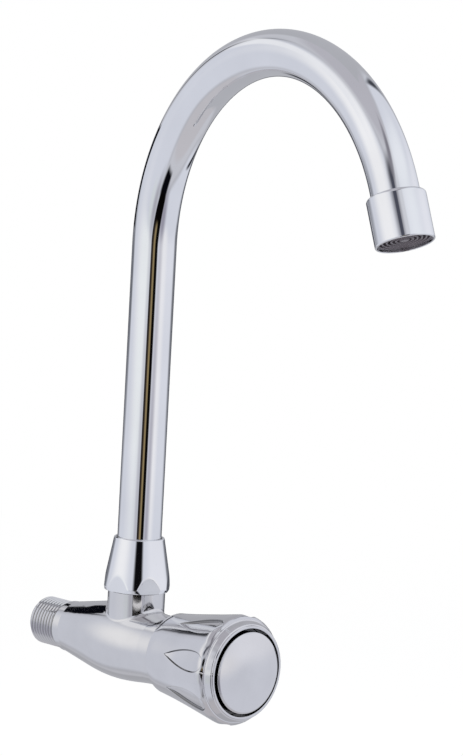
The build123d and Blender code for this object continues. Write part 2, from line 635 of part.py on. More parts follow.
def make_knob():
    grip_edge = Spline(*grip_profile())
    rim = [(KNOB_HOLE_R + r * RIM_W, GRIP_END_Y - d * RIM_DEPTH) for r, d in RIM_CURVE]
    screw_r = SCREW_HOLE_R + 0.15
    outline = Polyline(
        (RIM_R, GRIP_END_Y), *rim, (KNOB_HOLE_R, KNOB_FRONT_Y), (KNOB_HOLE_R, GROOVE_FLOOR_Y),
        (CAP_SEAT_R, GROOVE_FLOOR_Y), (CAP_SEAT_R, CAP_SEAT_END_Y), (FRONT_CAVITY_R, CAP_SEAT_END_Y),
        (FRONT_CAVITY_R, WEB_FRONT_Y), (screw_r, WEB_FRONT_Y), (screw_r, WEB_REAR_Y),
        (REAR_CAVITY_R, WEB_REAR_Y), (REAR_CAVITY_R, SKIRT_BORE_END_Y),
        (SKIRT_BORE_R, SKIRT_BORE_END_Y), (SKIRT_BORE_R, KNOB_REAR_Y), (KNOB_REAR_R, KNOB_REAR_Y),
        (GRIP_REAR_R, GRIP_START_Y))
    knob = revolve(make_face(Wire([grip_edge] + list(outline.edges()))), Axis.Y)
    tool = recess_tool(grip_edge)
    step = 360 / RECESS_COUNT
    knob = knob - [spin(tool, 90 - RECESS_ANGLE - i * step) for i in range(RECESS_COUNT)]
    return knob - hexagon(BUSH_R, WEB_REAR_Y + 1, BUSH_END_Y)


def make_bush():
    start = WEB_REAR_Y + 0.2
    spline_r = SPLINE_R + FIT_GAP
    bar = hexagon(BUSH_R - 0.02, start, BUSH_END_Y)
    return bar - splined(spline_r, spline_r - SPLINE_DEPTH, start + 1, BUSH_END_Y - 1)


def make_cap():
    inner = CAP_SEAT_R + FIT_GAP
    lip = [(CAP_R, CAP_EDGE_Y), (CAP_R - 0.1, CAP_EDGE_Y - 0.2), (CAP_R - 0.45, CAP_EDGE_Y - 0.4)]
    half_way = (CAP_R * 0.55, CAP_EDGE_Y - CAP_DOME * 0.7)
    dome = Spline(lip[-1], half_way, (0, CAP_TOP_Y), tangents=[(-1, -0.35), (-1, 0)])
    rest = Polyline(
        (0, CAP_TOP_Y), (0, CAP_TOP_Y + CAP_WALL), (half_way[0], half_way[1] + CAP_WALL),
        (inner - 1, CAP_EDGE_Y + CAP_WALL + 0.1), (inner, CAP_EDGE_Y + CAP_WALL + 0.9),
        (inner, CAP_SKIRT_END_Y), (CAP_R, CAP_SKIRT_END_Y), *lip)
    return revolve(make_face(Wire([dome] + list(rest.edges()))), Axis.Y)


def make_screw():
    head = WEB_FRONT_Y - SCREW_HEAD_T
    screw = turned([
        (0, SCREW_TIP_Y), (SCREW_R - EDGE, SCREW_TIP_Y), (SCREW_R, SCREW_TIP_Y - EDGE),
        (SCREW_R, WEB_FRONT_Y), (SCREW_HEAD_R, WEB_FRONT_Y), (SCREW_HEAD_R, head + 0.9),
        (SCREW_HEAD_R - 0.9, head), (0, head)])
    width, depth, length = SCREW_SLOT
    for angle in (0, 90):
        screw = screw - spin(Pos(0, head, 0) * Box(width, 2 * depth, length), angle)
    return screw


nodes = {
    "valve_body": make_body,
    "spout_nut": make_spout_nut,
    "spout_slip_ring": make_slip_ring,
    "spout_wear_ring": make_wear_ring,
    "seat_seal": make_seat_seal,
    "fixed_disc": make_fixed_disc,
    "cartridge_housing": make_housing,
    "cartridge_gasket": make_gasket,
    "spout_tube": make_tube,
    "spout_ferrule": make_ferrule,
    "spout_o_rings": make_spout_o_rings,
    "outlet_adapter": make_adapter,
    "aerator_gasket": make_aerator_gasket,
    "aerator_screen": make_aerator_screen,
    "aerator_insert": make_aerator_insert,
    "aerator_housing": make_aerator_housing,
    "moving_disc": make_moving_disc,
    "spindle": make_spindle,
    "stem_o_rings": make_stem_o_rings,
    "thrust_washer": make_thrust_washer,
    "spindle_clip": make_clip,
    "knob_shell": make_knob,
    "knob_bush": make_bush,
    "knob_screw": make_screw,
    "knob_cap": make_cap,
}

for name, make in nodes.items():
    shape = make()
    export_step(shape, f"parts/{name}.step")
    box = shape.bounding_box()
    print(name, "volume %.1f" % shape.volume, "solids", len(shape.solids()), "valid", shape.is_valid,
          "x %.2f..%.2f y %.2f..%.2f z %.2f..%.2f" % (box.min.X, box.max.X, box.min.Y, box.max.Y,
                                                      box.min.Z, box.max.Z))
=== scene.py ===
import logging
import math
from dataclasses import dataclass, field
from enum import StrEnum
from typing import Sequence

import bmesh
import bpy
from mathutils import Matrix, Vector


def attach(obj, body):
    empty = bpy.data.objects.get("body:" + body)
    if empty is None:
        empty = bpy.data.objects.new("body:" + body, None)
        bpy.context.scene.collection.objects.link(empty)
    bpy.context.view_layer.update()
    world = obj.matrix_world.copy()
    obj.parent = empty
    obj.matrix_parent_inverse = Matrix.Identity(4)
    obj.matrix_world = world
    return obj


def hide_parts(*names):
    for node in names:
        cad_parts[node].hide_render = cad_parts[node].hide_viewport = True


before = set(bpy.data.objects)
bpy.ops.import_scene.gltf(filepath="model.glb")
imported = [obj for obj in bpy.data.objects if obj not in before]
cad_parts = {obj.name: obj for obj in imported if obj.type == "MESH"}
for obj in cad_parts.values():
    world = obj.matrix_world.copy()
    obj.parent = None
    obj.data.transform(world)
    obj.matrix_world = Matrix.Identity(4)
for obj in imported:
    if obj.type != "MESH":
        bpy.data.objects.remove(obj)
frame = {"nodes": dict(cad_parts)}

MM = 0.001
log = logging.getLogger("wall_faucet")
Point2 = tuple[float, float]
Colour = tuple[float, float, float]
WHITE: Colour = (1.0, 1.0, 1.0)
CAMERA_AZIMUTH = math.radians(-44.173)
HALF_TURN = 180.0
SEAM_GAP = 1e-4
SLIVER = 1e-5


class Body(StrEnum):
    """Bodies that the pieces ride on."""

    VALVE = "valve"
    SPOUT = "spout"
    KNOB = "knob"


def linear(red: int, green: int, blue: int) -> Colour:
    """Turn 8-bit display colour into the linear values that nodes take.

    Args:
        red, green, blue: Display values from 0 to 255.

    Returns:
        The same colour in linear light.
    """
    def one(value: int) -> float:
        """Undo the display curve for one channel."""
        share = value / 255
        return share / 12.92 if share <= 0.04045 else ((share + 0.055) / 1.055) ** 2.4

    return one(red), one(green), one(blue)


# ---------------------------------------------------------------- node bench
class NodeBench:
    """Adds nodes to one shader tree and joins them with few words."""

    def __init__(self, tree: bpy.types.NodeTree) -> None:
        """Keep the tree that the bench works on."""
        self.tree = tree

    def add(self, kind: str, inputs: dict | None = None, **settings: object) -> bpy.types.Node:
        """Add one node.

        Args:
            kind: Node type without its family prefix, such as "TexNoise".
            inputs: Socket name or number to a value or to an output socket.
            settings: Attributes of the node.

        Returns:
            The new node.
        """
        node = self.tree.nodes.new("ShaderNode" + kind)
        for key, value in settings.items():
            setattr(node, key, value)
        for key, value in (inputs or {}).items():
            self.join(value, node.inputs[key])
        return node

    def join(self, value: object, socket: bpy.types.NodeSocket) -> None:
        """Link an output socket to an input, or write a plain value into it.

        Args:
            value: Output socket, number, vector or colour.
            socket: Input that takes it.
        """
        if isinstance(value, bpy.types.NodeSocket):
            self.tree.links.new(value, socket)
        elif isinstance(value, tuple) and len(value) == 3 and socket.type == "RGBA":
            socket.default_value = (*value, 1.0)
        else:
            socket.default_value = value

    def math(self, operation: str, *values: object) -> bpy.types.NodeSocket:
        """Add a Math node and return its output."""
        return self.add("Math", dict(enumerate(values)), operation=operation).outputs[0]

    def remap(self, value: object, low: float, high: float, to_low: float, to_high: float,
              smooth: bool = False) -> bpy.types.NodeSocket:
        """Carry a value from one range to another, held at both ends.

        Args:
            value: Socket or number to carry over.
            low, high: Range that it comes from.
            to_low, to_high: Range that it goes to.
            smooth: Ease in and out instead of running straight.

        Returns:
            The output socket.
        """
        style = "SMOOTHSTEP" if smooth else "LINEAR"
        ends = {0: value, 1: low, 2: high, 3: to_low, 4: to_high}
        return self.add("MapRange", ends, interpolation_type=style).outputs[0]

    def mix(self, share: object, first: object, second: object) -> bpy.types.NodeSocket:
        """Mix two colours.

        Args:
            share: Share of the second colour, from 0 to 1.
            first, second: Sockets or colours.

        Returns:
            The socket with the mixed colour.
        """
        node = self.add("Mix", data_type="RGBA")
        self.join(share, node.inputs[0])
        self.join(first, node.inputs[6])
        self.join(second, node.inputs[7])
        return node.outputs[2]

    def blend(self, share: object, first: bpy.types.Node, second: bpy.types.Node) -> bpy.types.Node:
        """Mix two shaders by the share of the second."""
        return self.add("MixShader", {0: share, 1: first.outputs[0], 2: second.outputs[0]})

    def end(self, kind: str, shader: bpy.types.Node) -> None:
        """Join a shader to the tree's output node, whose type is given."""
        self.join(shader.outputs[0], self.add(kind).inputs[0])


def bench_on(owner: bpy.types.Material | bpy.types.World) -> NodeBench:
    """Empty a node tree and put a bench on it.

    Args:
        owner: The material or the world that the tree belongs to.

    Returns:
        The bench.
    """
    owner.use_nodes = True
    owner.node_tree.nodes.clear()
    return NodeBench(owner.node_tree)


def placed(name: str, data: bpy.types.ID) -> bpy.types.Object:
    """Make an object and put it in the scene.

    Args:
        name: Name of the object.
        data: Its mesh, lamp or camera.

    Returns:
        The object.
    """
    made = bpy.data.objects.new(name, data)
    bpy.context.scene.collection.objects.link(made)
    return made


# ---------------------------------------------------------------- finishes
@dataclass(frozen=True)
class Finish:
    """Look of one material, with the variation that every real surface has.

    Lengths are in metres on the object, so a pattern keeps its real size.
    """

    name: str
    colour: Colour
    worn: Colour
    metallic: float = 0.0
    roughness: tuple[float, float] = (0.3, 0.45)
    patch: float = 0.02
    grain: float = 0.001
    grain_depth: float = 0.00001
    grain_strength: float = 0.2
    patch_range: tuple[float, float] = (0.32, 0.72)
    wipes_per_patch: float = 3.7
    wipe_range: tuple[float, float] = (0.3, 0.7)

    def coordinates(self, bench: NodeBench) -> bpy.types.NodeSocket:
        """Give the place on the object that the patterns follow."""
        return bench.add("TexCoord").outputs["Object"]

    def grain_height(self, bench: NodeBench, place: bpy.types.NodeSocket) -> bpy.types.NodeSocket:
        """Height of the fine surface texture.

        Args:
            bench: Bench of the material's tree.
            place: Coordinates on the object.

        Returns:
            A socket with the height from 0 to 1.
        """
        noise = bench.add("TexNoise", {"Vector": place, "Scale": 1 / self.grain, "Detail": 3.0})
        return noise.outputs[0]

    def tint(self, bench: NodeBench, place: bpy.types.NodeSocket,
             colour: bpy.types.NodeSocket) -> bpy.types.NodeSocket:
        """Leave the colour as it is; a finish that paints shade into its grooves or creases changes it here.
        """
        return colour

    def material(self) -> bpy.types.Material:
        """Build the material, or find it if it is already there.

        Returns:
            The material.
        """
        made = bpy.data.materials.get(self.name)
        if made:
            return made
        made = bpy.data.materials.new(self.name)
        bench = bench_on(made)
        place = self.coordinates(bench)
        patches = bench.add("TexNoise", {"Vector": place, "Scale": 1 / self.patch, "Detail": 4.0})
        share = bench.remap(patches.outputs[0], *self.patch_range, 0.0, 1.0)
        wipes = bench.add("TexNoise", {
            "Vector": place, "Scale": self.wipes_per_patch / self.patch, "Detail": 2.0})
        rough = bench.remap(wipes.outputs[0], *self.wipe_range, *self.roughness)
        height = self.grain_height(bench, place)
        bump = bench.add("Bump", {"Height": height, "Strength": self.grain_strength,
                                  "Distance": self.grain_depth})
        shader = bench.add("BsdfPrincipled", {
            "Base Color": self.tint(bench, place, bench.mix(share, self.colour, self.worn)),
            "Metallic": self.metallic,
            "Roughness": rough, "Normal": bump.outputs[0]})
        bench.end("OutputMaterial", shader)
        made.diffuse_color = (*self.colour, 1.0)
        return made


@dataclass(frozen=True)
class TurnedFinish(Finish):
    """Metal with the fine rings that a lathe tool leaves, about the inlet axis."""

    ring_pitch: float = 0.0004
    ring_share: float = 0.3

    def grain_height(self, bench: NodeBench, place: bpy.types.NodeSocket) -> bpy.types.NodeSocket:
        """Height of the tool marks, as narrow bands along the turned length.

        Args:
            bench: Bench of the material's tree.
            place: Coordinates on the object.

        Returns:
            A socket with the height.
        """
        parts = bench.add("SeparateXYZ", {0: place})
        turns = bench.math("MULTIPLY", parts.outputs[1], 2 * math.pi / self.ring_pitch)
        wave = bench.math("SINE", turns)
        noise = bench.add("TexNoise", {"Vector": place, "Scale": 1 / self.grain, "Detail": 2.0})
        return bench.math("ADD", bench.math("MULTIPLY", wave, self.ring_share), noise.outputs[0])


@dataclass(frozen=True)
class ThreadedFinish(Finish):
    """Plated casting with painted shade in its inlet thread's grooves, darkest at their roots."""

    root: float = 0.0093
    crest: float = 0.01048
    # groove: darkness of the painted shade at the thread roots, as a share of the worn colour
    groove: float = 0.28
    crest_edge: float = 0.00015
    bore_side: tuple[float, float] = (0.0006, 0.0003)
    first_ridge: tuple[float, float] = (0.0002, 0.0006)

    def tint(self, bench: NodeBench, place: bpy.types.NodeSocket,
             colour: bpy.types.NodeSocket) -> bpy.types.NodeSocket:
        """Darken the grooves with painted shade by how deep they lie, on the thread's side of the collar.

        Args:
            bench: Bench of the material's tree.
            place: Coordinates on the object.
            colour: Colour of the plating.

        Returns:
            The colour with the grooves darkened.
        """
        spot = bench.add("SeparateXYZ", {0: place}).outputs
        square = bench.math("MULTIPLY_ADD", spot[0], spot[0], bench.math("MULTIPLY", spot[2], spot[2]))
        radius = bench.math("SQRT", square)
        deep = bench.remap(radius, self.root, self.crest - self.crest_edge, 1.0, 0.0, smooth=True)
        inner, outer = (self.root - inset for inset in self.bore_side)
        wall = bench.remap(radius, inner, outer, 0.0, 1.0)
        threaded = bench.remap(spot[1], *self.first_ridge, 0.0, 1.0)
        # share of painted shade: deep in the thread, clear of the bore, past the first ridge
        share = bench.math("MULTIPLY", bench.math("MULTIPLY", deep, wall), threaded)
        painted_shade_colour = tuple(self.groove * part for part in self.worn)
        return bench.mix(share, colour, painted_shade_colour)


@dataclass(frozen=True)
class CreaseShadeFinish(Finish):
    """Plated casting with a thin line of painted shade where the crease attribute marks its mesh."""

    # groove and depth: darkness of the painted crease shade, as a share of the worn colour, and how far a
    # fully marked crease goes toward it
    groove: float = 0.12
    depth: float = 0.85

    def tint(self, bench: NodeBench, place: bpy.types.NodeSocket,
             colour: bpy.types.NodeSocket) -> bpy.types.NodeSocket:
        """Darken the marked creases with painted shade.

        Args:
            bench: Bench of the material's tree.
            place: Coordinates on the object.
            colour: Colour of the plating.

        Returns:
            The colour with the creases darkened.
        """
        # painted shade where the mesh's crease attribute marks it
        mark = bench.add("Attribute", attribute_name="crease").outputs["Fac"]
        painted_shade_colour = tuple(self.groove * part for part in self.worn)
        return bench.mix(bench.math("MULTIPLY", mark, self.depth), colour, painted_shade_colour)


CHROME = Finish("chrome_on_tube", (0.89, 0.895, 0.91), (0.83, 0.835, 0.85), metallic=1.0,
                roughness=(0.012, 0.04), patch=0.03, grain=0.0016, grain_depth=0.000004,
                grain_strength=0.25)
# plated casting, with painted shade in its thread grooves
CAST_CHROME = ThreadedFinish("chrome_on_casting", (0.76, 0.755, 0.76), (0.69, 0.685, 0.69), metallic=1.0,
                             roughness=(0.04, 0.085), patch=0.02, grain=0.0022,
                             grain_depth=0.000006, grain_strength=0.3)
# plated knob and cap, with painted shade in their marked creases and in the gap round the cap
KNOB_CHROME = CreaseShadeFinish("chrome_on_knob", (0.77, 0.765, 0.775), (0.70, 0.695, 0.705), metallic=1.0,
                            roughness=(0.045, 0.10), patch=0.02, grain=0.0022,
                            grain_depth=0.000008, grain_strength=0.3)
BRASS = TurnedFinish("turned_brass", (0.78, 0.58, 0.29), (0.66, 0.46, 0.22), metallic=1.0,
                     roughness=(0.18, 0.34), patch=0.006, grain=0.0005, grain_depth=0.00002,
                     grain_strength=0.5)
STEEL = TurnedFinish("stainless_steel", (0.62, 0.61, 0.59), (0.52, 0.51, 0.50), metallic=1.0,
                     roughness=(0.2, 0.36), patch=0.004, grain=0.0004, grain_depth=0.00001,
                     grain_strength=0.4)
RUBBER = Finish("black_rubber", (0.018, 0.018, 0.02), (0.035, 0.034, 0.034), roughness=(0.45, 0.62),
                patch=0.005, grain=0.0003, grain_depth=0.00002, grain_strength=0.5)
NYLON = Finish("white_nylon", (0.80, 0.79, 0.75), (0.72, 0.70, 0.65), roughness=(0.38, 0.5),
               patch=0.006, grain=0.0004, grain_depth=0.00001, grain_strength=0.3)
CERAMIC = Finish("fired_ceramic", (0.86, 0.85, 0.82), (0.80, 0.79, 0.76), roughness=(0.12, 0.22),
                 patch=0.004, grain=0.0003, grain_depth=0.000004, grain_strength=0.3)
GREY_PLASTIC = Finish("grey_plastic", (0.10, 0.085, 0.10), (0.07, 0.06, 0.072), roughness=(0.14, 0.24),
                      patch=0.004, grain=0.0008, grain_depth=0.000006, grain_strength=0.2)


# ---------------------------------------------------------------- shaping
Corner = tuple[float, ...]


def rounded(corners: Sequence[Corner], step: float = 12.0) -> list[Point2]:
    """Turn a closed outline with rounded corners into plain points.

    Args:
        corners: Radius and height of each corner in mm, and its rounding where it has one.
        step: Largest turn between two points of a rounding, in degrees.

    Returns:
        The outline's points, in the same order.
    """
    points: list[Point2] = []
    for i, corner in enumerate(corners):
        here = Vector(corner[:2])
        if len(corner) == 2:
            points.append((here.x, here.y))
            continue
        before = (Vector(corners[i - 1][:2]) - here).normalized()
        after = (Vector(corners[(i + 1) % len(corners)][:2]) - here).normalized()
        half = before.angle(after) / 2
        centre = here + (before + after).normalized() * (corner[2] / math.sin(half))
        start = here + before * (corner[2] / math.tan(half)) - centre
        sweep = start.angle_signed(here + after * (corner[2] / math.tan(half)) - centre)
        count = max(2, math.ceil(abs(math.degrees(sweep)) / step))
        for k in range(count + 1):
            turn = -sweep * k / count
            x = start.x * math.cos(turn) - start.y * math.sin(turn)
            y = start.x * math.sin(turn) + start.y * math.cos(turn)
            points.append((centre.x + x, centre.y + y))
    return points


def divided(points: Sequence[Point2], longest: float) -> list[Point2]:
    """Add points to the runs of a closed outline that are longer than asked.

    Args:
        points: The outline.
        longest: Longest run that stays whole, in mm.

    Returns:
        The outline with its long runs divided evenly.
    """
    made: list[Point2] = []
    for i, (r, h) in enumerate(points):
        next_r, next_h = points[(i + 1) % len(points)]
        count = max(1, math.ceil(math.hypot(next_r - r, next_h - h) / longest))
        made += [(r + (next_r - r) * k / count, h + (next_h - h) * k / count) for k in range(count)]
    return made


class Draft:
    """Collects the faces of one piece in mm and turns them into a mesh in metres."""

    def __init__(self) -> None:
        """Start with nothing drawn."""
        self.mesh = bmesh.new()
        # weight of painted shade at each point, which the knob's finish darkens by
        self.crease = self.mesh.verts.layers.float.new("crease")

    def grid(self, rows: Sequence[Sequence[Sequence[float]]], closed: bool = False,
             marks: Sequence[float] = ()) -> None:
        """Draw four-sided faces between rows of points of equal length.

        Args:
            rows: Points of each row, in mm.
            closed: Join each row's last point to its first.
            marks: How strongly each row is marked for painted crease shade, from 0 to 1.
        """
        made = [[self.mesh.verts.new(p) for p in row] for row in rows]
        for row, mark in zip(made, marks):
            for spot in row:
                spot[self.crease] = mark
        for low, high in zip(made, made[1:]):
            count = len(low) if closed else len(low) - 1
            for i in range(count):
                j = (i + 1) % len(low)
                self.mesh.faces.new((low[i], low[j], high[j], high[i]))

    def turn(self, outline: Sequence[Point2], angles: Sequence[float], closed: bool = True,
             marks: Sequence[float] = ()) -> None:
        """Turn an outline of radius and height about the local z axis.

        Args:
            outline: Points of the outline; a closed one encloses the material.
            angles: Directions of the points round the axis, in radians.
            closed: Join the outline's last point to its first.
            marks: How strongly each point of the outline is marked for painted crease shade, from 0 to 1.
        """
        rows = [[(r * math.cos(a), r * math.sin(a), h) for a in angles] for r, h in outline]
        self.grid(rows + rows[:1] if closed else rows, closed=True, marks=marks)

    def finish(self, name: str, place: Matrix) -> bpy.types.Mesh:
        """Close the seams, point the faces outward and put the mesh in its place.

        Args:
            name: Name of the mesh.
            place: From the draft's own axes to the faucet's, in mm.

        Returns:
            The mesh, in metres.
        """
        bmesh.ops.remove_doubles(self.mesh, verts=self.mesh.verts, dist=SEAM_GAP)
        bmesh.ops.dissolve_degenerate(self.mesh, edges=self.mesh.edges, dist=SLIVER)
        bare = [edge for edge in self.mesh.edges if edge.is_wire]
        bmesh.ops.delete(self.mesh, geom=bare, context="EDGES")
        bmesh.ops.recalc_face_normals(self.mesh, faces=self.mesh.faces)
        made = bpy.data.meshes.new(name)
        self.mesh.to_mesh(made)
        self.mesh.free()
        made.transform(Matrix.Scale(MM, 4) @ place)
        return made


def even_turn(count: int) -> list[float]:
    """Directions of evenly spaced points round a full turn."""
    return [2 * math.pi * i / count for i in range(count)]


# ---------------------------------------------------------------- rule trees
class RuleTree(NodeBench):
    """A Geometry Nodes tree with named sizes that makes one piece by rule."""

    def __init__(self, name: str, sizes: dict[str, float], blank: bool = False) -> None:
        """Start a tree.

        Args:
            name: Name of the tree.
            sizes: Named inputs with their values; whole numbers become counts.
            blank: The tree works on the mesh that its modifier sits on.
        """
        super().__init__(bpy.data.node_groups.new(name, "GeometryNodeTree"))
        self.sizes = sizes
        face = self.tree.interface
        if blank:
            face.new_socket("Blank", in_out="INPUT", socket_type="NodeSocketGeometry")
        for key, value in sizes.items():
            kind = "NodeSocketInt" if isinstance(value, int) else "NodeSocketFloat"
            face.new_socket(key, in_out="INPUT", socket_type=kind)
        face.new_socket("Piece", in_out="OUTPUT", socket_type="NodeSocketGeometry")
        self.given = self.tree.nodes.new("NodeGroupInput").outputs

    def op(self, kind: str, inputs: dict | None = None, **settings: object) -> bpy.types.Node:
        """Add a geometry node.

        Args:
            kind: Node type without its family prefix, such as "CurveToMesh".
            inputs: Socket name or number to a value or to an output socket.
            settings: Attributes of the node.

        Returns:
            The new node.
        """
        node = self.tree.nodes.new("GeometryNode" + kind)
        for key, value in settings.items():
            setattr(node, key, value)
        for key, value in (inputs or {}).items():
            self.join(value, node.inputs[key])
        return node

    def vector(self, x: object, y: object, z: object) -> bpy.types.NodeSocket:
        """Join three values into a vector."""
        return self.add("CombineXYZ", {0: x, 1: y, 2: z}).outputs[0]

    def together(self, *parts: bpy.types.NodeSocket) -> bpy.types.NodeSocket:
        """Join several geometries into one.

        Args:
            parts: Sockets with the geometries, in the order in which they are kept.

        Returns:
            The socket with the whole.
        """
        node = self.tree.nodes.new("GeometryNodeJoinGeometry")
        for part in reversed(parts):
            self.tree.links.new(part, node.inputs[0])
        return node.outputs[0]

    def make(self, shape: bpy.types.NodeSocket, finish: Finish,
             blank: bpy.types.Mesh | None = None) -> bpy.types.Mesh:
        """Run the tree once and keep the result as a plain mesh.

        Args:
            shape: The geometry that the tree ends in.
            finish: Finish of the piece.
            blank: The mesh that the tree works on, if it takes one.

        Returns:
            The finished mesh.
        """
        real = self.op("RealizeInstances", {0: shape}).outputs[0]
        dressed = self.op("SetMaterial", {"Geometry": real, "Material": finish.material()})
        output = self.tree.nodes.new("NodeGroupOutput")
        self.tree.links.new(dressed.outputs[0], output.inputs[0])
        carrier = placed("carrier", blank or bpy.data.meshes.new("carrier"))
        rule = carrier.modifiers.new("rule", "NODES")
        rule.node_group = self.tree
        for item in self.tree.interface.items_tree:
            if item.name in self.sizes and item.in_out == "INPUT":
                rule[item.identifier] = self.sizes[item.name]
        settled = carrier.evaluated_get(bpy.context.evaluated_depsgraph_get())
        made = bpy.data.meshes.new_from_object(settled)
        bpy.data.objects.remove(carrier)
        return made


def settle(name: str, mesh: bpy.types.Mesh, body: Body, node: str, finish: Finish,
           crease: float = 32.0) -> bpy.types.Object:
    """Shade a mesh, make it a piece of the faucet and let it stand for its node.

    Args:
        name: Name of the piece.
        mesh: Its mesh, in place and in metres.
        body: The body that it rides on.
        node: The node that it stands for, which is hidden.
        finish: Its finish.
        crease: Smallest angle that stays a sharp edge, in degrees.

    Returns:
        The piece.
    """
    mesh.shade_smooth()
    mesh.set_sharp_from_angle(angle=math.radians(crease))
    mesh.materials.clear()
    mesh.materials.append(finish.material())
    piece = placed(name, mesh)
    even = piece.modifiers.new("even_shading", "WEIGHTED_NORMAL")
    even.keep_sharp = True
    settled = piece.evaluated_get(bpy.context.evaluated_depsgraph_get())
    piece.data = bpy.data.meshes.new_from_object(settled)
    piece.data.name = name
    piece.modifiers.clear()
    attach(piece, body)
    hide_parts(node)
    log.info("%s stands for %s, %d faces", name, node, len(piece.data.polygons))
    return piece


# ---------------------------------------------------------------- faucet's own axes
INLET_AXIS = Matrix(((1, 0, 0, 0), (0, 0, 1, 0), (0, -1, 0, 0), (0, 0, 0, 1)))


@dataclass
class Swivel:
    """Upright axis of the spout, and the spout's own turned plane."""

    y: float = -41.2
    yaw: float = math.radians(-7.9)

    def upright(self) -> Matrix:
        """From the origin to the swivel axis."""
        return Matrix.Translation((0.0, self.y, 0.0))

    def spout(self) -> Matrix:
        """From the spout's own plane to where it stands at rest."""
        return self.upright() @ Matrix.Rotation(self.yaw, 4, "Z")


# ---------------------------------------------------------------- spout
@dataclass
class SpoutTube:
    """Chromed tube: an upright run, a round bend and a short straight tail."""

    swivel: Swivel
    radius: float = 9.46
    wall: float = 1.2
    base: float = 37.4
    upright: float = 134.6
    bend: float = 82.0
    sweep: float = math.radians(157.3)
    tail: float = 1.8
    steps_along: int = 210
    steps_round: int = 96

    def outlet(self) -> Matrix:
        """Find the tube's end, with +Z along the outflow.

        Returns:
            From the origin to the tube's end, in mm.
        """
        drop, out = math.cos(self.sweep), math.sin(self.sweep)
        y = -self.bend * (1 - drop) - self.tail * out
        z = self.base + self.upright + self.bend * out + self.tail * drop
        turn = Matrix(((1, 0, 0, 0), (0, drop, -out, 0), (0, out, drop, 0), (0, 0, 0, 1)))
        return self.swivel.spout() @ Matrix.Translation((0.0, y, z)) @ turn

    def shape(self) -> bpy.types.Mesh:
        """Sweep the tube's section along its line.

        Returns:
            The tube's mesh, both walls and both ends.
        """
        rule = RuleTree("bent_tube_rule", {
            "Radius": self.radius * MM, "Wall": self.wall * MM, "Base": self.base * MM,
            "Upright": self.upright * MM, "Bend Radius": self.bend * MM, "Sweep": self.sweep,
            "Tail": self.tail * MM, "Yaw": self.swivel.yaw, "Swivel": self.swivel.y * MM,
            "Steps Along": self.steps_along, "Steps Round": self.steps_round})
        given, calc = rule.given, rule.math
        arc = calc("MULTIPLY", given["Bend Radius"], given["Sweep"])
        bent_end = calc("ADD", given["Upright"], arc)
        whole = calc("ADD", bent_end, given["Tail"])
        line = rule.op("CurvePrimitiveLine", {"End": (0.0, 0.0, 1.0)}).outputs[0]
        line = rule.op("ResampleCurve", {"Curve": line, "Count": given["Steps Along"]}).outputs[0]
        along = calc("MULTIPLY", rule.op("SplineParameter").outputs["Factor"], whole)
        turned = calc("DIVIDE", calc("SUBTRACT", along, given["Upright"]), given["Bend Radius"])
        turned = calc("MINIMUM", calc("MAXIMUM", turned, 0.0), given["Sweep"])
        beyond = calc("MAXIMUM", calc("SUBTRACT", along, bent_end), 0.0)
        forward = calc("MULTIPLY", given["Bend Radius"], calc("SUBTRACT", 1.0, calc("COSINE", turned)))
        forward = calc("MULTIPLY_ADD", beyond, calc("SINE", given["Sweep"]), forward)
        rise = calc("MULTIPLY", given["Bend Radius"], calc("SINE", turned))
        rise = calc("MULTIPLY_ADD", beyond, calc("COSINE", given["Sweep"]), rise)
        rise = calc("ADD", rise, calc("ADD", given["Base"], calc("MINIMUM", along, given["Upright"])))
        place = rule.vector(0.0, calc("MULTIPLY", forward, -1.0), rise)
        line = rule.op("SetPosition", {"Geometry": line, "Position": place}).outputs[0]
        ring = rule.op("CurvePrimitiveCircle", {
            "Resolution": given["Steps Round"], "Radius": given["Radius"]}).outputs[0]
        outside = rule.op("CurveToMesh", {"Curve": line, "Profile Curve": ring}).outputs[0]
        inward = rule.op("ExtrudeMesh", {
            "Mesh": outside, "Offset Scale": calc("MULTIPLY", given["Wall"], -1.0),
            "Individual": False}).outputs[0]
        inside = rule.op("FlipFaces", {0: inward}).outputs[0]
        closed = rule.op("MergeByDistance", {
            "Geometry": rule.together(outside, inside), "Distance": 1e-6}).outputs[0]
        stood = rule.op("Transform", {
            "Geometry": closed, "Translation": rule.vector(0.0, given["Swivel"], 0.0),
            "Rotation": rule.vector(0.0, 0.0, given["Yaw"])}).outputs[0]
        return rule.make(stood, CHROME)

    def build(self) -> None:
        """Make the tube."""
        settle("bent_spout_tube", self.shape(), Body.SPOUT, "spout_tube", CHROME)


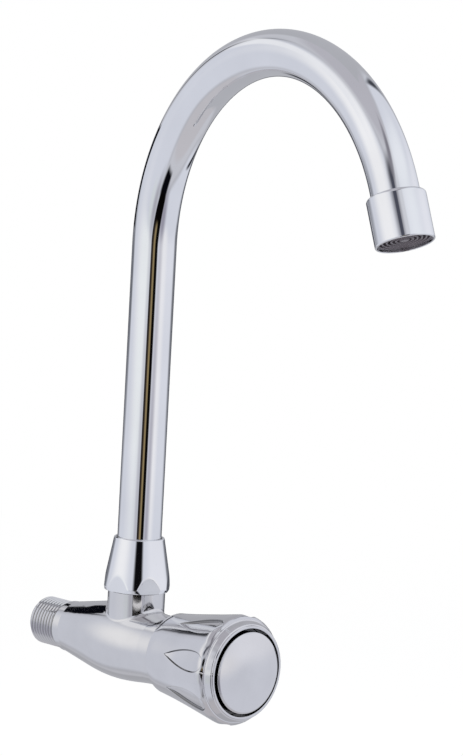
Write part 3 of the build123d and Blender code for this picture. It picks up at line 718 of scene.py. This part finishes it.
@dataclass
class SpoutNut:
    """Tapered nut with six milled flats that run out as arches on its cone."""

    swivel: Swivel
    hole: float = 9.82
    top: float = 10.82
    bottom: float = 14.6
    flats: float = 13.5
    flats_lean: float = 0.01
    flats_turn: float = math.radians(10.2)
    flat_count: int = 6
    softness: float = 0.2
    thread: float = 11.05
    bottom_z: float = 23.35
    widest_z: float = 25.0
    shoulder_z: float = 38.6
    top_z: float = 46.2
    longest_run: float = 0.4
    steps_round: int = 288

    def blank(self) -> bpy.types.Mesh:
        """Turn the nut before its flats are milled.

        Returns:
            The turned mesh.
        """
        outline = rounded([
            (self.thread, self.bottom_z, 0.3), (self.bottom - 0.5, self.bottom_z, 0.25),
            (self.bottom, self.widest_z, 0.6),
            (self.top, self.top_z - 0.3, 0.3), (self.top - 0.4, self.top_z, 0.15),
            (self.hole, self.top_z, 0.2), (self.hole, self.shoulder_z), (self.thread, self.shoulder_z)])
        draft = Draft()
        draft.turn(divided(outline, self.longest_run), even_turn(self.steps_round))
        return draft.finish("nut_blank", self.swivel.upright())

    def shape(self) -> bpy.types.Mesh:
        """Mill six soft-edged flats on the blank.

        Returns:
            The nut's mesh.
        """
        rule = RuleTree("milled_flats_rule", {
            "Half Across Flats": self.flats * MM, "First Flat": self.flats_turn,
            "Lean": self.flats_lean, "Foot": self.bottom_z * MM,
            "Softness": self.softness * MM, "Axis": self.swivel.y * MM,
            "Flats": self.flat_count}, blank=True)
        given, calc = rule.given, rule.math
        spot = rule.add("SeparateXYZ", {0: rule.op("InputPosition").outputs[0]}).outputs
        y = calc("SUBTRACT", spot[1], given["Axis"])
        radius = calc("SQRT", calc("MULTIPLY_ADD", spot[0], spot[0], calc("MULTIPLY", y, y)))
        share = calc("DIVIDE", 2 * math.pi, given["Flats"])
        half = calc("DIVIDE", share, 2.0)
        turn = calc("ADD", calc("SUBTRACT", calc("ARCTAN2", y, spot[0]), given["First Flat"]), half)
        off = calc("SUBTRACT", calc("FLOORED_MODULO", turn, share), half)
        flat = calc("MULTIPLY_ADD", calc("SUBTRACT", spot[2], given["Foot"]), given["Lean"],
                    given["Half Across Flats"])
        limit = calc("DIVIDE", flat, calc("COSINE", off))
        cut = calc("SMOOTH_MIN", radius, limit, given["Softness"])
        scale = calc("DIVIDE", cut, radius)
        place = rule.vector(calc("MULTIPLY", spot[0], scale),
                            calc("MULTIPLY_ADD", y, scale, given["Axis"]), spot[2])
        milled = rule.op("SetPosition", {"Geometry": given["Blank"], "Position": place}).outputs[0]
        return rule.make(milled, CHROME, self.blank())

    def build(self) -> None:
        """Make the nut."""
        settle("tapered_spout_nut", self.shape(), Body.VALVE, "spout_nut", CHROME, crease=50)


# ---------------------------------------------------------------- knob
@dataclass
class Knob:
    """Flared knob with eight leaf-shaped recesses, a stepped rim and a ring groove."""

    rear_radius: float = 17.35
    rim_radius: float = 23.35
    hole: float = 18.5
    start: float = -68.1
    widest: float = -104.6
    shoulder: float = -103.2
    end: float = -107.3
    shoulder_drop: float = 2.0
    front: float = -111.1
    leaves: int = 8
    first_leaf: float = math.radians(-32.0)
    leaf_tip: float = -80.0
    leaf_end: float = -106.5
    leaf_half_width: float = 4.6
    leaf_depth: float = 0.84
    leaf_wall: float = 0.5
    leaf_inset: float = 3.6
    leaf_widest: float = 0.7
    leaf_powers: tuple[float, float, float] = (1.85, 3.0, 0.4)
    floor_rise: float = 0.3
    floor_fall: tuple[float, float] = (0.8, 0.35)
    floor_least: float = 0.15
    flare_bow: tuple[float, float, float] = (0.74, 0.40, -0.14)
    shoulder_power: float = 2.8
    # span along the knob's hole that gets painted shade, in the gap where the cap sits
    gap_shade_span: tuple[float, float] = (-109.9, -103.0)
    rim_steps: tuple[Corner, ...] = (
        (21.7, -107.55, 0.1), (21.3, -107.6, 0.1), (21.2, -108.4, 0.35), (20.75, -109.3, 0.4),
        (20.1, -110.55, 0.6), (19.7, -110.6, 0.1), (19.4, -111.1, 0.3))
    hollow: tuple[Corner, ...] = (
        (18.5, -104.5, 0.3), (15.55, -104.5, 0.2), (15.55, -109.0, 0.2), (13.6, -109.0, 0.2),
        (13.6, -91.0), (2.2, -91.0), (2.2, -90.2), (8.1, -90.2), (8.1, -82.5), (14.31, -82.5),
        (14.31, -71.8), (15.35, -71.8), (15.35, -67.5, 0.2), (16.85, -67.5, 0.25))
    side_steps: int = 48
    end_steps: int = 16
    wall_steps: int = 8
    halvings: int = 30

    def grip(self, y: float) -> float:
        """Radius of the flare and its round shoulder at one place along the knob.

        Args:
            y: Place along the knob, in mm.

        Returns:
            The radius, in mm.
        """
        share = (self.start - y) / (self.start - self.widest)
        first, second, third = self.flare_bow
        bowed = share * (first + share * (second + third * share))
        flare = (self.rim_radius - self.rear_radius) * bowed
        past = max(0.0, (self.shoulder - y) / (self.shoulder - self.end))
        return self.rear_radius + flare - self.shoulder_drop * past ** self.shoulder_power

    def leaf_width(self, y: float) -> float:
        """Half width of a leaf at one place along the knob.

        Args:
            y: Place along the knob, in mm.

        Returns:
            The half width, in mm, and 0 outside the leaf.
        """
        share = (self.leaf_tip - y) / (self.leaf_tip - self.leaf_end)
        if not 0 < share < 1:
            return 0.0
        tip, end, close = self.leaf_powers
        if share < self.leaf_widest:
            return self.leaf_half_width * (1 - (1 - share / self.leaf_widest) ** tip)
        beyond = (share - self.leaf_widest) / (1 - self.leaf_widest)
        return self.leaf_half_width * (1 - beyond ** end) ** close

    def leaf_floor(self, y: float) -> float:
        """Depth of a leaf's floor at one place along the knob.

        Args:
            y: Place along the knob, in mm.

        Returns:
            The depth under the grip, in mm.
        """
        share = (self.leaf_tip - y) / (self.leaf_tip - self.leaf_end)
        start, drop = self.floor_fall
        rise = 1 - max(0.0, 1 - max(share, 0.0) / self.floor_rise) ** 2
        fall = drop * max(0.0, (share - start) / (1 - start)) ** 2
        return self.leaf_depth * max(self.floor_least, rise - fall)

    def border(self) -> list[Point2]:
        """Go once round one leaf's share of the grip.

        Returns:
            Points of (across in radians, y).
        """
        half = math.pi / self.leaves
        sides = [self.start + (self.end - self.start) * i / self.side_steps
                 for i in range(self.side_steps)]
        ends = [half * (2 * i / self.end_steps - 1) for i in range(self.end_steps)]
        return ([(half, y) for y in sides] + [(-a, self.end) for a in ends]
                + [(-half, self.start + self.end - y) for y in sides] + [(a, self.start) for a in ends])

    def leaf_rows(self) -> tuple[list[list[tuple[float, float, float]]], list[float]]:
        """Rows of points from one leaf's middle line out to its border.

        Returns:
            Rows of (across in radians, y, depth), each going once round the leaf, and how
            strongly each row is marked for painted crease shade.
        """
        spine = (self.leaf_tip - self.leaf_inset, self.leaf_end + self.leaf_inset)
        inner = (0.0, 0.35, 0.65, 0.88)
        wall = [i / self.wall_steps for i in range(self.wall_steps + 1)]
        outer = (0.08, 0.2, 0.4, 0.7, 1.0)
        soft = [1.0] * len(inner) + [1 - t * t * (3 - 2 * t) for t in wall] + [0.0] * len(outer)
        # painted shade on each leaf's wall, strongest halfway down it
        marks = [0.0] * len(inner) + [min(1.0, 6 * t * (1 - t)) for t in wall] + [0.0] * len(outer)
        columns = []
        for across, y in self.border():
            middle = min(max(y, spine[1]), spine[0])
            reach = (across * self.grip(y), y - middle)
            low, high = 0.0, 1.0
            for _ in range(self.halvings):
                half = (low + high) / 2
                inside = abs(reach[0] * half) < self.leaf_width(middle + reach[1] * half)
                low, high = (half, high) if inside else (low, half)
            foot = low - self.leaf_wall / math.hypot(*reach)
            ratios = ([foot * t for t in inner] + [foot + (low - foot) * t for t in wall]
                      + [low + (1 - low) * t for t in outer])
            column = []
            for step, ratio in zip(soft, ratios):
                at = middle + reach[1] * ratio
                angle = reach[0] * ratio / self.grip(at) if ratio < 1 else across
                column.append((angle, at, step * self.leaf_floor(at)))
            columns.append(column)
        return [list(row) for row in zip(*columns)], marks

    def shape(self) -> bpy.types.Mesh:
        """Draw the grip with its leaves, the rim, the groove and the hollow inside.

        Returns:
            The knob's mesh.
        """
        draft = Draft()
        rows, marks = self.leaf_rows()
        for k in range(self.leaves):
            middle = self.first_leaf + 2 * math.pi * k / self.leaves
            draft.grid([[((self.grip(y) - depth) * math.cos(middle + a),
                          (self.grip(y) - depth) * math.sin(middle + a), y)
                         for a, y, depth in row] for row in rows], closed=True, marks=marks)
        rim = rounded([
            (self.grip(self.end), self.end), *self.rim_steps, (self.hole, self.front, 0.2),
            (self.hole, self.front + 0.9), (self.hole, self.front + 1.5), *self.hollow,
            (self.rear_radius, self.start)])
        first = self.first_leaf + math.pi / self.leaves
        turns = [first + 2 * math.pi * i / (self.leaves * self.end_steps)
                 for i in range(self.leaves * self.end_steps)]
        # painted shade on the hole's wall, in the gap round the cap
        deep, shallow = self.gap_shade_span
        gap_shade = [float(r < self.hole + 0.1 and deep < h < shallow) for r, h in rim]
        draft.turn(rim, turns, closed=False, marks=gap_shade)
        return draft.finish("leaf_knob", INLET_AXIS)

    def build(self) -> None:
        """Make the knob."""
        settle("leaf_knob", self.shape(), Body.KNOB, "knob_shell", KNOB_CHROME, crease=60)


@dataclass
class KnobCap:
    """Domed chrome cap that closes the front of the knob."""

    radius: float = 17.15
    edge: float = -111.6
    top: float = -114.4
    skirt: float = 15.6
    skirt_end: float = -105.6
    wall: float = 1.4
    inside_step: float = 0.9
    # the skirt this far behind the cap's edge gets painted shade, inside the gap round the cap
    gap_shade_from: float = 1.4
    steps_round: int = 128
    lip: tuple[Corner, ...] = (
        (17.15, -109.8), (17.15, -110.6), (17.15, -111.7, 0.45), (16.4, -112.15, 0.5),
        (15.55, -112.38), (15.15, -111.8))

    def dome(self, rim: float, rim_y: float, top: float, count: int = 24) -> list[Point2]:
        """Draw a round dome from its rim to its middle.

        Args:
            rim, rim_y: Radius and place of the rim.
            top: Place of the middle.
            count: Number of steps between them.

        Returns:
            The points of radius and place.
        """
        height = rim_y - top
        ball = (rim * rim + height * height) / (2 * height)
        spread = math.asin(rim / ball)
        return [(ball * math.sin(spread * (1 - i / count)),
                 top + ball * (1 - math.cos(spread * (1 - i / count)))) for i in range(count + 1)]

    def shape(self) -> bpy.types.Mesh:
        """Turn the cap's shell.

        Returns:
            The cap's mesh.
        """
        lip = rounded([
            (self.skirt, self.skirt_end), (self.radius, self.skirt_end, 0.2), *self.lip])[:-1]
        outside = self.dome(lip[-1][0], lip[-1][1], self.top)
        floor = self.edge + self.wall
        inside = self.dome(self.skirt - self.inside_step, floor, self.top + self.wall)
        outline = lip + outside[1:] + inside[::-1] + [(self.skirt, floor + self.inside_step)]
        # painted shade on the skirt inside the gap round the cap
        gap_shade = [float(h > self.edge + self.gap_shade_from) for _, h in outline]
        draft = Draft()
        draft.turn(outline, even_turn(self.steps_round), marks=gap_shade)
        return draft.finish("domed_cap", INLET_AXIS)

    def build(self) -> None:
        """Make the cap."""
        settle("domed_knob_cap", self.shape(), Body.KNOB, "knob_cap", KNOB_CHROME)


# ---------------------------------------------------------------- outlet
@dataclass
class Aerator:
    """Outlet sleeve and flow straightener at the end of the spout."""

    tube: SpoutTube
    radius: float = 11.58
    length: float = 19.3
    outlet_radius: float = 10.75
    thread: float = 10.05
    shoulder: float = 1.4
    insert_length: float = 6.0
    screen_thick: float = 0.5
    recess: float = 0.7
    insert_gap: float = 0.02
    face_inset: float = 1.3
    ring_pitch: float = 1.75
    rings: int = 5
    ring_wall: float = 0.8
    ring_round: float = 0.3
    ribs: int = 6
    rib_wall: float = 0.7
    rib_inset: float = 1.5
    sleeve_steps: int = 128
    ring_steps: int = 96
    hub_steps: int = 24

    def step(self) -> float:
        """Where the housing's bore widens, from the end of the tube."""
        return self.length - self.recess - self.insert_length - self.screen_thick

    def housing(self) -> bpy.types.Mesh:
        """Turn the sleeve.

        Returns:
            The sleeve's mesh.
        """
        outline = rounded([
            (self.thread, 0.0), (self.radius, 0.0, self.shoulder), (self.radius, self.length, 0.6),
            (self.outlet_radius, self.length, 0.25), (self.outlet_radius, self.step()),
            (self.thread, self.step())], step=9)
        draft = Draft()
        draft.turn(outline[::-1], even_turn(self.sleeve_steps))
        return draft.finish("aerator_sleeve", self.tube.outlet())

    def insert(self) -> bpy.types.Mesh:
        """Grow the straightener's rings and ribs by rule.

        Returns:
            The straightener's mesh.
        """
        start = self.step() + self.screen_thick
        face = self.length - self.face_inset
        rule = RuleTree("straightener_rule", {
            "Outer Radius": (self.outlet_radius - self.insert_gap) * MM,
            "Start": start * MM, "Face": face * MM,
            "Pitch": self.ring_pitch * MM, "Wall": self.ring_wall * MM, "Rings": self.rings + 1,
            "Rounding": self.ring_round * MM,
            "Ribs": self.ribs, "Rib Wall": self.rib_wall * MM, "Rib Inset": self.rib_inset * MM,
            "Steps": self.ring_steps, "Hub Steps": self.hub_steps})
        given, calc = rule.given, rule.math
        height = calc("SUBTRACT", given["Face"], given["Start"])
        # one ring: a rounded bar section swept round a circle whose size follows its number
        spots = rule.op("MeshLine", {"Count": given["Rings"], "Offset": (0.0, 0.0, 0.0)}).outputs[0]
        number = rule.op("InputIndex").outputs[0]
        middle = calc("SUBTRACT", given["Outer Radius"], calc("MULTIPLY", given["Wall"], 0.5))
        radius = calc("MULTIPLY_ADD", number, calc("MULTIPLY", given["Pitch"], -1.0), middle)
        circle = rule.op("CurvePrimitiveCircle", {"Resolution": given["Steps"], "Radius": 1.0}).outputs[0]
        loops = rule.op("InstanceOnPoints", {
            "Points": spots, "Instance": circle, "Scale": rule.vector(radius, radius, 1.0)}).outputs[0]
        loops = rule.op("RealizeInstances", {0: loops}).outputs[0]
        section = rule.op("CurvePrimitiveQuadrilateral", {
            "Width": given["Wall"], "Height": height}).outputs[0]
        section = rule.op("FilletCurve", {
            "Curve": section, "Radius": given["Rounding"]}, mode="POLY").outputs[0]
        walls = rule.op("CurveToMesh", {"Curve": loops, "Profile Curve": section}).outputs[0]
        lift = calc("MULTIPLY", calc("ADD", given["Face"], given["Start"]), 0.5)
        walls = rule.op("SetPosition", {"Geometry": walls, "Offset": rule.vector(0.0, 0.0, lift)}).outputs[0]
        hub = rule.op("MeshCylinder", {
            "Vertices": given["Hub Steps"], "Radius": calc("MULTIPLY", given["Wall"], 2.0),
            "Depth": height}).outputs[0]
        hub = rule.op("SetPosition", {"Geometry": hub, "Offset": rule.vector(0.0, 0.0, lift)}).outputs[0]
        rib_height = calc("SUBTRACT", height, given["Rib Inset"])
        reach = calc("SUBTRACT", given["Outer Radius"], calc("MULTIPLY", given["Wall"], 0.5))
        bar = rule.op("MeshCube", {"Size": rule.vector(reach, given["Rib Wall"], rib_height)}).outputs[0]
        rib_lift = calc("MULTIPLY_ADD", rib_height, 0.5, given["Start"])
        shift = rule.vector(calc("MULTIPLY", reach, 0.5), 0.0, rib_lift)
        bar = rule.op("SetPosition", {"Geometry": bar, "Offset": shift}).outputs[0]
        places = rule.op("MeshLine", {"Count": given["Ribs"], "Offset": (0.0, 0.0, 0.0)}).outputs[0]
        turn = calc("MULTIPLY", number, calc("DIVIDE", 2 * math.pi, given["Ribs"]))
        ribs = rule.op("InstanceOnPoints", {
            "Points": places, "Instance": bar, "Rotation": rule.vector(0.0, 0.0, turn)}).outputs[0]
        made = rule.make(rule.together(walls, hub, ribs), GREY_PLASTIC)
        made.transform(Matrix.Scale(MM, 4) @ self.tube.outlet() @ Matrix.Scale(1 / MM, 4))
        return made

    def build(self) -> None:
        """Make the outlet's pieces."""
        settle("aerator_sleeve", self.housing(), Body.SPOUT, "aerator_housing", CHROME)
        settle("flow_straightener", self.insert(), Body.SPOUT, "aerator_insert", GREY_PLASTIC)


# ---------------------------------------------------------------- carried-over pieces
@dataclass
class CarriedNodes:
    """Pieces whose shape in the frame is right and that only need their finish."""

    finishes: dict[str, Finish] = field(default_factory=lambda: {
        "valve_body": CAST_CHROME, "spout_slip_ring": NYLON, "spout_wear_ring": NYLON, "seat_seal": RUBBER,
        "fixed_disc": CERAMIC, "moving_disc": CERAMIC, "cartridge_housing": BRASS,
        "cartridge_gasket": NYLON, "spout_ferrule": BRASS, "spout_o_rings": RUBBER,
        "outlet_adapter": CHROME, "aerator_gasket": RUBBER, "aerator_screen": STEEL,
        "spindle": BRASS, "stem_o_rings": RUBBER, "thrust_washer": NYLON, "spindle_clip": STEEL,
        "knob_bush": GREY_PLASTIC, "knob_screw": STEEL})

    def dress(self, nodes: dict[str, bpy.types.Object]) -> int:
        """Give each node's slots their finish.

        Args:
            nodes: The frame's objects by name.

        Returns:
            How many nodes were dressed.
        """
        for name, finish in self.finishes.items():
            for place in nodes[name].material_slots:
                place.material = finish.material()
        return len(self.finishes)


# ---------------------------------------------------------------- studio
@dataclass(frozen=True)
class Panel:
    """One soft-edged part of the room that polished metal shows.

    Directions are in degrees: first measured from the camera's side of the room to the right,
    then from the horizon up. Square is 2 for an oval and more for a fuller outline, and lean
    moves the panel across for each degree of height.
    """

    name: str
    at: tuple[float, float]
    half: tuple[float, float]
    colour: Colour
    soft: float = 5.0
    square: float = 2.0
    lean: float = 0.0
    strength: float = 1.0

    def lay(self, bench: NodeBench, below: object, across: bpy.types.NodeSocket,
            height: bpy.types.NodeSocket) -> bpy.types.NodeSocket:
        """Lay the panel over what is already in the room.

        Args:
            bench: Bench of the world's tree.
            below: Colour that the panel covers.
            across, height: Direction of the ray, in degrees.

        Returns:
            The room's colour with the panel in it.
        """
        rise = bench.math("SUBTRACT", height, self.at[1])
        shape = bench.math("DIVIDE", bench.math("ABSOLUTE", rise), self.half[1])
        if self.half[0] < HALF_TURN:
            turned = bench.math("MULTIPLY_ADD", rise, -self.lean, across)
            aside = bench.math("WRAP", bench.math("SUBTRACT", turned, self.at[0]), HALF_TURN, -HALF_TURN)
            wide = bench.math("DIVIDE", bench.math("ABSOLUTE", aside), self.half[0])
            total = bench.math("ADD", bench.math("POWER", wide, self.square),
                               bench.math("POWER", shape, self.square))
            shape = bench.math("POWER", total, 1.0 / self.square)
        edge = self.soft / 2 / min(self.half)
        share = bench.remap(shape, 1.0 - edge, 1.0 + edge, self.strength, 0.0, smooth=True)
        return bench.mix(share, below, self.colour)


@dataclass(frozen=True)
class Card:
    """Soft-edged card on a stand, which only polished metal shows.

    It hangs square to the spot that shows it, at a direction and distance from there, so
    that pieces elsewhere on the faucet see it in another place, or not at all where they
    are farther from it than its reach.
    """

    name: str
    seen_from: tuple[float, float, float]
    at: tuple[float, float]
    distance: float
    size: tuple[float, float]
    colour: Colour
    firm: float = 0.9
    reach: float = 9.0

    def material(self) -> bpy.types.Material:
        """Build the card's even surface, which fades out to its edges.

        Returns:
            The material.
        """
        made = bpy.data.materials.new(self.name)
        bench = bench_on(made)
        glow = bench.add("Emission", {"Color": self.colour, "Strength": 1.0})
        clear = bench.add("BsdfTransparent")
        fade = bench.add("Attribute", attribute_name="fade").outputs["Fac"]
        near = bench.math("LESS_THAN", bench.add("LightPath").outputs["Ray Length"], self.reach)
        shown = bench.math("MULTIPLY", fade, near)
        bench.end("OutputMaterial", bench.blend(shown, clear, glow))
        return made

    def build(self, toward: Vector, right: Vector) -> None:
        """Hang the card.

        Args:
            toward: Level direction to the camera.
            right: Level direction to the camera's right.
        """
        across, height = (math.radians(angle) for angle in self.at)
        level = math.cos(across) * toward + math.sin(across) * right
        ahead = math.cos(height) * level + math.sin(height) * Vector((0, 0, 1))
        side = ahead.cross(Vector((0, 0, 1))).normalized()
        wide, tall = self.size[0] / 2 * side, self.size[1] / 2 * side.cross(ahead)
        centre = Vector(self.seen_from) + self.distance * ahead
        draft = bmesh.new()
        fade = draft.verts.layers.float.new("fade")
        steps = (-1.0, -self.firm, self.firm, 1.0)
        rows = [[draft.verts.new(centre + u * wide + v * tall) for u in steps] for v in steps]
        for spot in rows[1][1:3] + rows[2][1:3]:
            spot[fade] = 1.0
        for low, high in zip(rows, rows[1:]):
            for i in range(3):
                draft.faces.new((low[i], low[i + 1], high[i + 1], high[i]))
        mesh = bpy.data.meshes.new(self.name)
        draft.to_mesh(mesh)
        draft.free()
        mesh.materials.append(self.material())
        card = placed(self.name, mesh)
        card.visible_camera = card.visible_diffuse = card.visible_shadow = False
        card.visible_transmission = False


@dataclass(frozen=True)
class Lamp:
    """Square soft lamp that polished metal doesn't show; its power is for each square metre."""

    name: str
    place: tuple[float, float, float]
    size: float
    power: float
    aim: tuple[float, float, float] = (0.0, -0.1, 0.1)

    def build(self) -> None:
        """Hang the lamp and turn it to the faucet."""
        data = bpy.data.lights.new(self.name, "AREA")
        data.shape = "SQUARE"
        data.size = self.size
        data.energy = self.power * self.size * self.size
        lamp = placed(self.name, data)
        lamp.location = self.place
        lamp.rotation_mode = "QUATERNION"
        lamp.rotation_quaternion = (Vector(self.aim) - Vector(self.place)).to_track_quat("-Z", "Y")
        lamp.visible_glossy = False


# spot on the body beside the boss where two of the cards are seen
BESIDE_BOSS = (-0.0084, -0.0498, 0.0182)


@dataclass
class Studio:
    """Room, cards, floor and lamps: a light tent with an opening where the camera stands."""

    camera_side: float = CAMERA_AZIMUTH
    wall: Colour = linear(203, 204, 211)
    plain_light: Colour = (0.93, 0.94, 0.96)
    plain_level: float = 0.82
    panels: tuple[Panel, ...] = (
        Panel("ceiling", (0, 90), (400, 38), linear(188, 187, 195), soft=12, square=8),
        Panel("table", (0, -90), (400, 36), linear(197, 195, 200), soft=8, square=8),
        Panel("back_room", (180, 0), (32, 120), linear(182, 183, 189), soft=10, square=8),
        Panel("left_frame", (-73, -6), (71, 55), linear(184, 185, 192), soft=10, square=3),
        Panel("left_screen", (-73, -6), (66, 50), linear(216, 219, 229), soft=12, square=3),
        Panel("left_glow", (-70, 20), (34, 24), linear(250, 250, 252), soft=26),
        Panel("left_strip", (-46, -3), (26, 6), linear(242, 245, 247), soft=7),
        Panel("left_band", (-38, -17), (11, 7), linear(216, 221, 224), soft=10),
        Panel("right_frame", (85, 17), (72, 60), linear(188, 189, 196), soft=6, square=3),
        Panel("right_screen", (85, 17), (67, 56), linear(220, 223, 233), soft=8, square=3),
        Panel("right_glow", (58, 46), (48, 15), linear(240, 243, 249), soft=20),
        Panel("right_upper", (88, 13), (48, 17), linear(240, 241, 248), soft=12, square=3, strength=0.8),
        Panel("right_strip", (50, -4), (20, 8), linear(242, 242, 246), soft=10),
        Panel("right_shade", (34, -19), (13, 15), linear(158, 156, 170), soft=19),
        Panel("left_shade", (-21, -20), (10, 14), linear(176, 176, 185), soft=16),
        Panel("wall_base", (180, -7), (38, 6), linear(84, 86, 94), soft=6, square=4),
        Panel("gap_above", (-14, 36), (12, 9), linear(90, 90, 98), soft=14, lean=0.9),
        Panel("gap_tail", (3, 52), (9, 15), linear(136, 134, 143), soft=12, lean=0.6),
        Panel("gap_core", (-13, 31), (6.5, 6), linear(78, 80, 92), soft=3.5, square=4),
        Panel("left_slit", (-141, 20), (2.5, 16), linear(24, 26, 34), soft=4, lean=0.9),
        Panel("left_clip", (-134, -4), (10, 3), linear(95, 98, 106), soft=6),
        Panel("left_foot", (-157, -20), (5, 6), linear(45, 47, 55), soft=6),
        Panel("right_seam", (140, -21), (4, 8), linear(34, 36, 44), soft=4, lean=2.3),
        Panel("right_hem", (146, 42), (3, 18), linear(70, 72, 80), soft=4, lean=-0.45),
        Panel("right_clip", (140, -4), (10, 3), linear(110, 112, 118), soft=6),
        Panel("opening_low", (10.5, -37), (18, 9), linear(8, 8, 14), soft=5, square=6, lean=-0.3),
        Panel("opening", (6.5, -16), (17.5, 16), linear(9, 7, 7), soft=3.5, square=6, lean=-0.35),
        Panel("stand_side", (-5.9, -6), (3.6, 8), linear(56, 47, 42), soft=3, square=6, lean=-0.35),
        Panel("stand_post", (1.8, -6), (4.3, 8), linear(144, 127, 92), soft=3, square=6, lean=-0.35),
        Panel("camera_box", (4, 10), (15.5, 7), linear(14, 13, 16), soft=5, square=4),
    )
    cards: tuple[Card, ...] = (
        Card("left_flag", (-0.008, -0.025, 0.012), (-148, 30), 0.40, (0.18, 0.115),
             linear(8, 9, 16)),
        Card("left_crown", (0.0, -0.045, 0.012), (-95, 49), 0.72, (0.95, 0.22),
             linear(243, 244, 248), firm=0.5),
        Card("table_edge", BESIDE_BOSS, (7, -10.6), 0.16, (0.112, 0.0034),
             linear(240, 239, 242), reach=0.2),
        Card("table_shade", BESIDE_BOSS, (7, -10.6), 0.17, (0.088, 0.016),
             linear(8, 7, 7), reach=0.2),
    )
    lamps: tuple[Lamp, ...] = (
        Lamp("lamp_above", (-0.25, -0.35, 1.25), 1.3, 9.6),
        Lamp("lamp_left", (-1.25, -0.55, 0.45), 0.9, 3.36),
    )
    floor_middle: tuple[float, float, float] = (0.0, -0.06, -0.215)
    floor_radius: float = 1.9
    floor_steps: int = 96
    floor_colour: Colour = (0.96, 0.96, 0.965)
    floor_fade: tuple[float, float] = (0.45, 1.7)
    floor_white: tuple[float, float] = (0.84, 1.0)

    def sides(self) -> tuple[Vector, Vector]:
        """Return the level directions to the camera and to its right."""
        sin_a, cos_a = math.sin(self.camera_side), math.cos(self.camera_side)
        return Vector((sin_a, -cos_a, 0.0)), Vector((cos_a, sin_a, 0.0))

    def room(self) -> None:
        """Build the world: white to the camera, the tent to polished metal, plain light else."""
        world = bpy.data.worlds.new("studio_room")
        bpy.context.scene.world = world
        bench = bench_on(world)
        ray = bench.add("TexCoord").outputs["Generated"]
        ahead, aside = (
            bench.add("VectorMath", {0: ray, 1: side}, operation="DOT_PRODUCT").outputs["Value"]
            for side in self.sides())
        across = bench.math("DEGREES", bench.math("ARCTAN2", aside, ahead))
        up = bench.add("SeparateXYZ", {0: ray}).outputs[2]
        height = bench.math("DEGREES", bench.math("ARCSINE", up))
        colour: object = self.wall
        for panel in self.panels:
            colour = panel.lay(bench, colour, across, height)
        path = bench.add("LightPath").outputs
        seen = bench.mix(path["Is Glossy Ray"], self.plain_light, colour)
        seen = bench.mix(path["Is Transmission Ray"], seen, WHITE)
        seen = bench.mix(path["Is Camera Ray"], seen, WHITE)
        mirror = bench.math("MAXIMUM", path["Is Glossy Ray"], path["Is Camera Ray"])
        direct = bench.math("MAXIMUM", mirror, path["Is Transmission Ray"])
        level = bench.remap(direct, 0.0, 1.0, self.plain_level, 1.0)
        bench.end("OutputWorld", bench.add("Background", {0: seen, 1: level}))

    def floor(self) -> None:
        """Lay the pale floor, which keeps the faucet's shadow."""
        mesh = bpy.data.meshes.new("studio_floor")
        draft = bmesh.new()
        bmesh.ops.create_circle(draft, cap_ends=True, segments=self.floor_steps, radius=self.floor_radius)
        bmesh.ops.translate(draft, verts=draft.verts, vec=self.floor_middle)
        draft.to_mesh(mesh)
        draft.free()
        made = placed("studio_floor", mesh)
        material = bpy.data.materials.new("pale_floor")
        bench = bench_on(material)
        matt = bench.add("BsdfDiffuse", {"Color": self.floor_colour})
        glow = bench.add("Emission", {"Color": WHITE, "Strength": 1.0})
        path = bench.add("LightPath").outputs
        seen = bench.math("MAXIMUM", path["Is Camera Ray"], path["Is Glossy Ray"])
        seen = bench.math("MAXIMUM", seen, path["Is Transmission Ray"])
        place = bench.add("TexCoord").outputs["Object"]
        reach = bench.add("VectorMath", {0: place}, operation="LENGTH").outputs["Value"]
        even = bench.remap(reach, *self.floor_fade, *self.floor_white, smooth=True)
        bench.end("OutputMaterial", bench.blend(bench.math("MULTIPLY", seen, even), matt, glow))
        mesh.materials.append(material)
        made.visible_glossy = False

    def build(self) -> None:
        """Make the room, the floor, the lamps and the cards, and set the plain view transform."""
        bpy.context.scene.view_settings.view_transform = "Standard"
        self.room()
        self.floor()
        for lamp in self.lamps:
            lamp.build()
        for card in self.cards:
            card.build(*self.sides())


@dataclass
class PhotoCamera:
    """Camera at the photograph's place, fitted to the faucet's known sizes."""

    azimuth: float = CAMERA_AZIMUTH
    elevation: float = math.radians(5.833)
    roll: float = math.radians(3.128)
    place: tuple[float, float, float] = (-0.7934531, -0.9090698, 0.2365775)
    focal_pixels: float = 2774.714
    frame_height: float = 756.0
    sensor: float = 36.0
    clip: tuple[float, float] = (0.05, 20.0)

    def build(self) -> None:
        """Make the camera and hand it to the scene."""
        sin_a, cos_a = math.sin(self.azimuth), math.cos(self.azimuth)
        sin_e, cos_e = math.sin(self.elevation), math.cos(self.elevation)
        back = Vector((sin_a * cos_e, -cos_a * cos_e, sin_e))
        level = Vector((cos_a, sin_a, 0.0))
        above = back.cross(level)
        right = math.cos(self.roll) * level + math.sin(self.roll) * above
        up = math.cos(self.roll) * above - math.sin(self.roll) * level
        data = bpy.data.cameras.new("photo_camera")
        data.sensor_width = self.sensor
        data.lens = self.sensor * self.focal_pixels / self.frame_height
        data.clip_start, data.clip_end = self.clip
        camera = placed("photo_camera", data)
        turn = Matrix((right, up, back)).transposed().to_4x4()
        camera.matrix_world = Matrix.Translation(self.place) @ turn
        bpy.context.scene.camera = camera


def main() -> None:
    """Build the faucet's pieces in order, then the studio and the camera."""
    logging.basicConfig(level=logging.INFO, format="%(name)s %(message)s")
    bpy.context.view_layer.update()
    log.info("dressed %d carried pieces", CarriedNodes().dress(frame["nodes"]))
    swivel = Swivel()
    tube = SpoutTube(swivel)
    tube.build()
    SpoutNut(swivel).build()
    Aerator(tube).build()
    Knob().build()
    KnobCap().build()
    Studio().build()
    PhotoCamera().build()


if __name__ == "__main__":
    main()
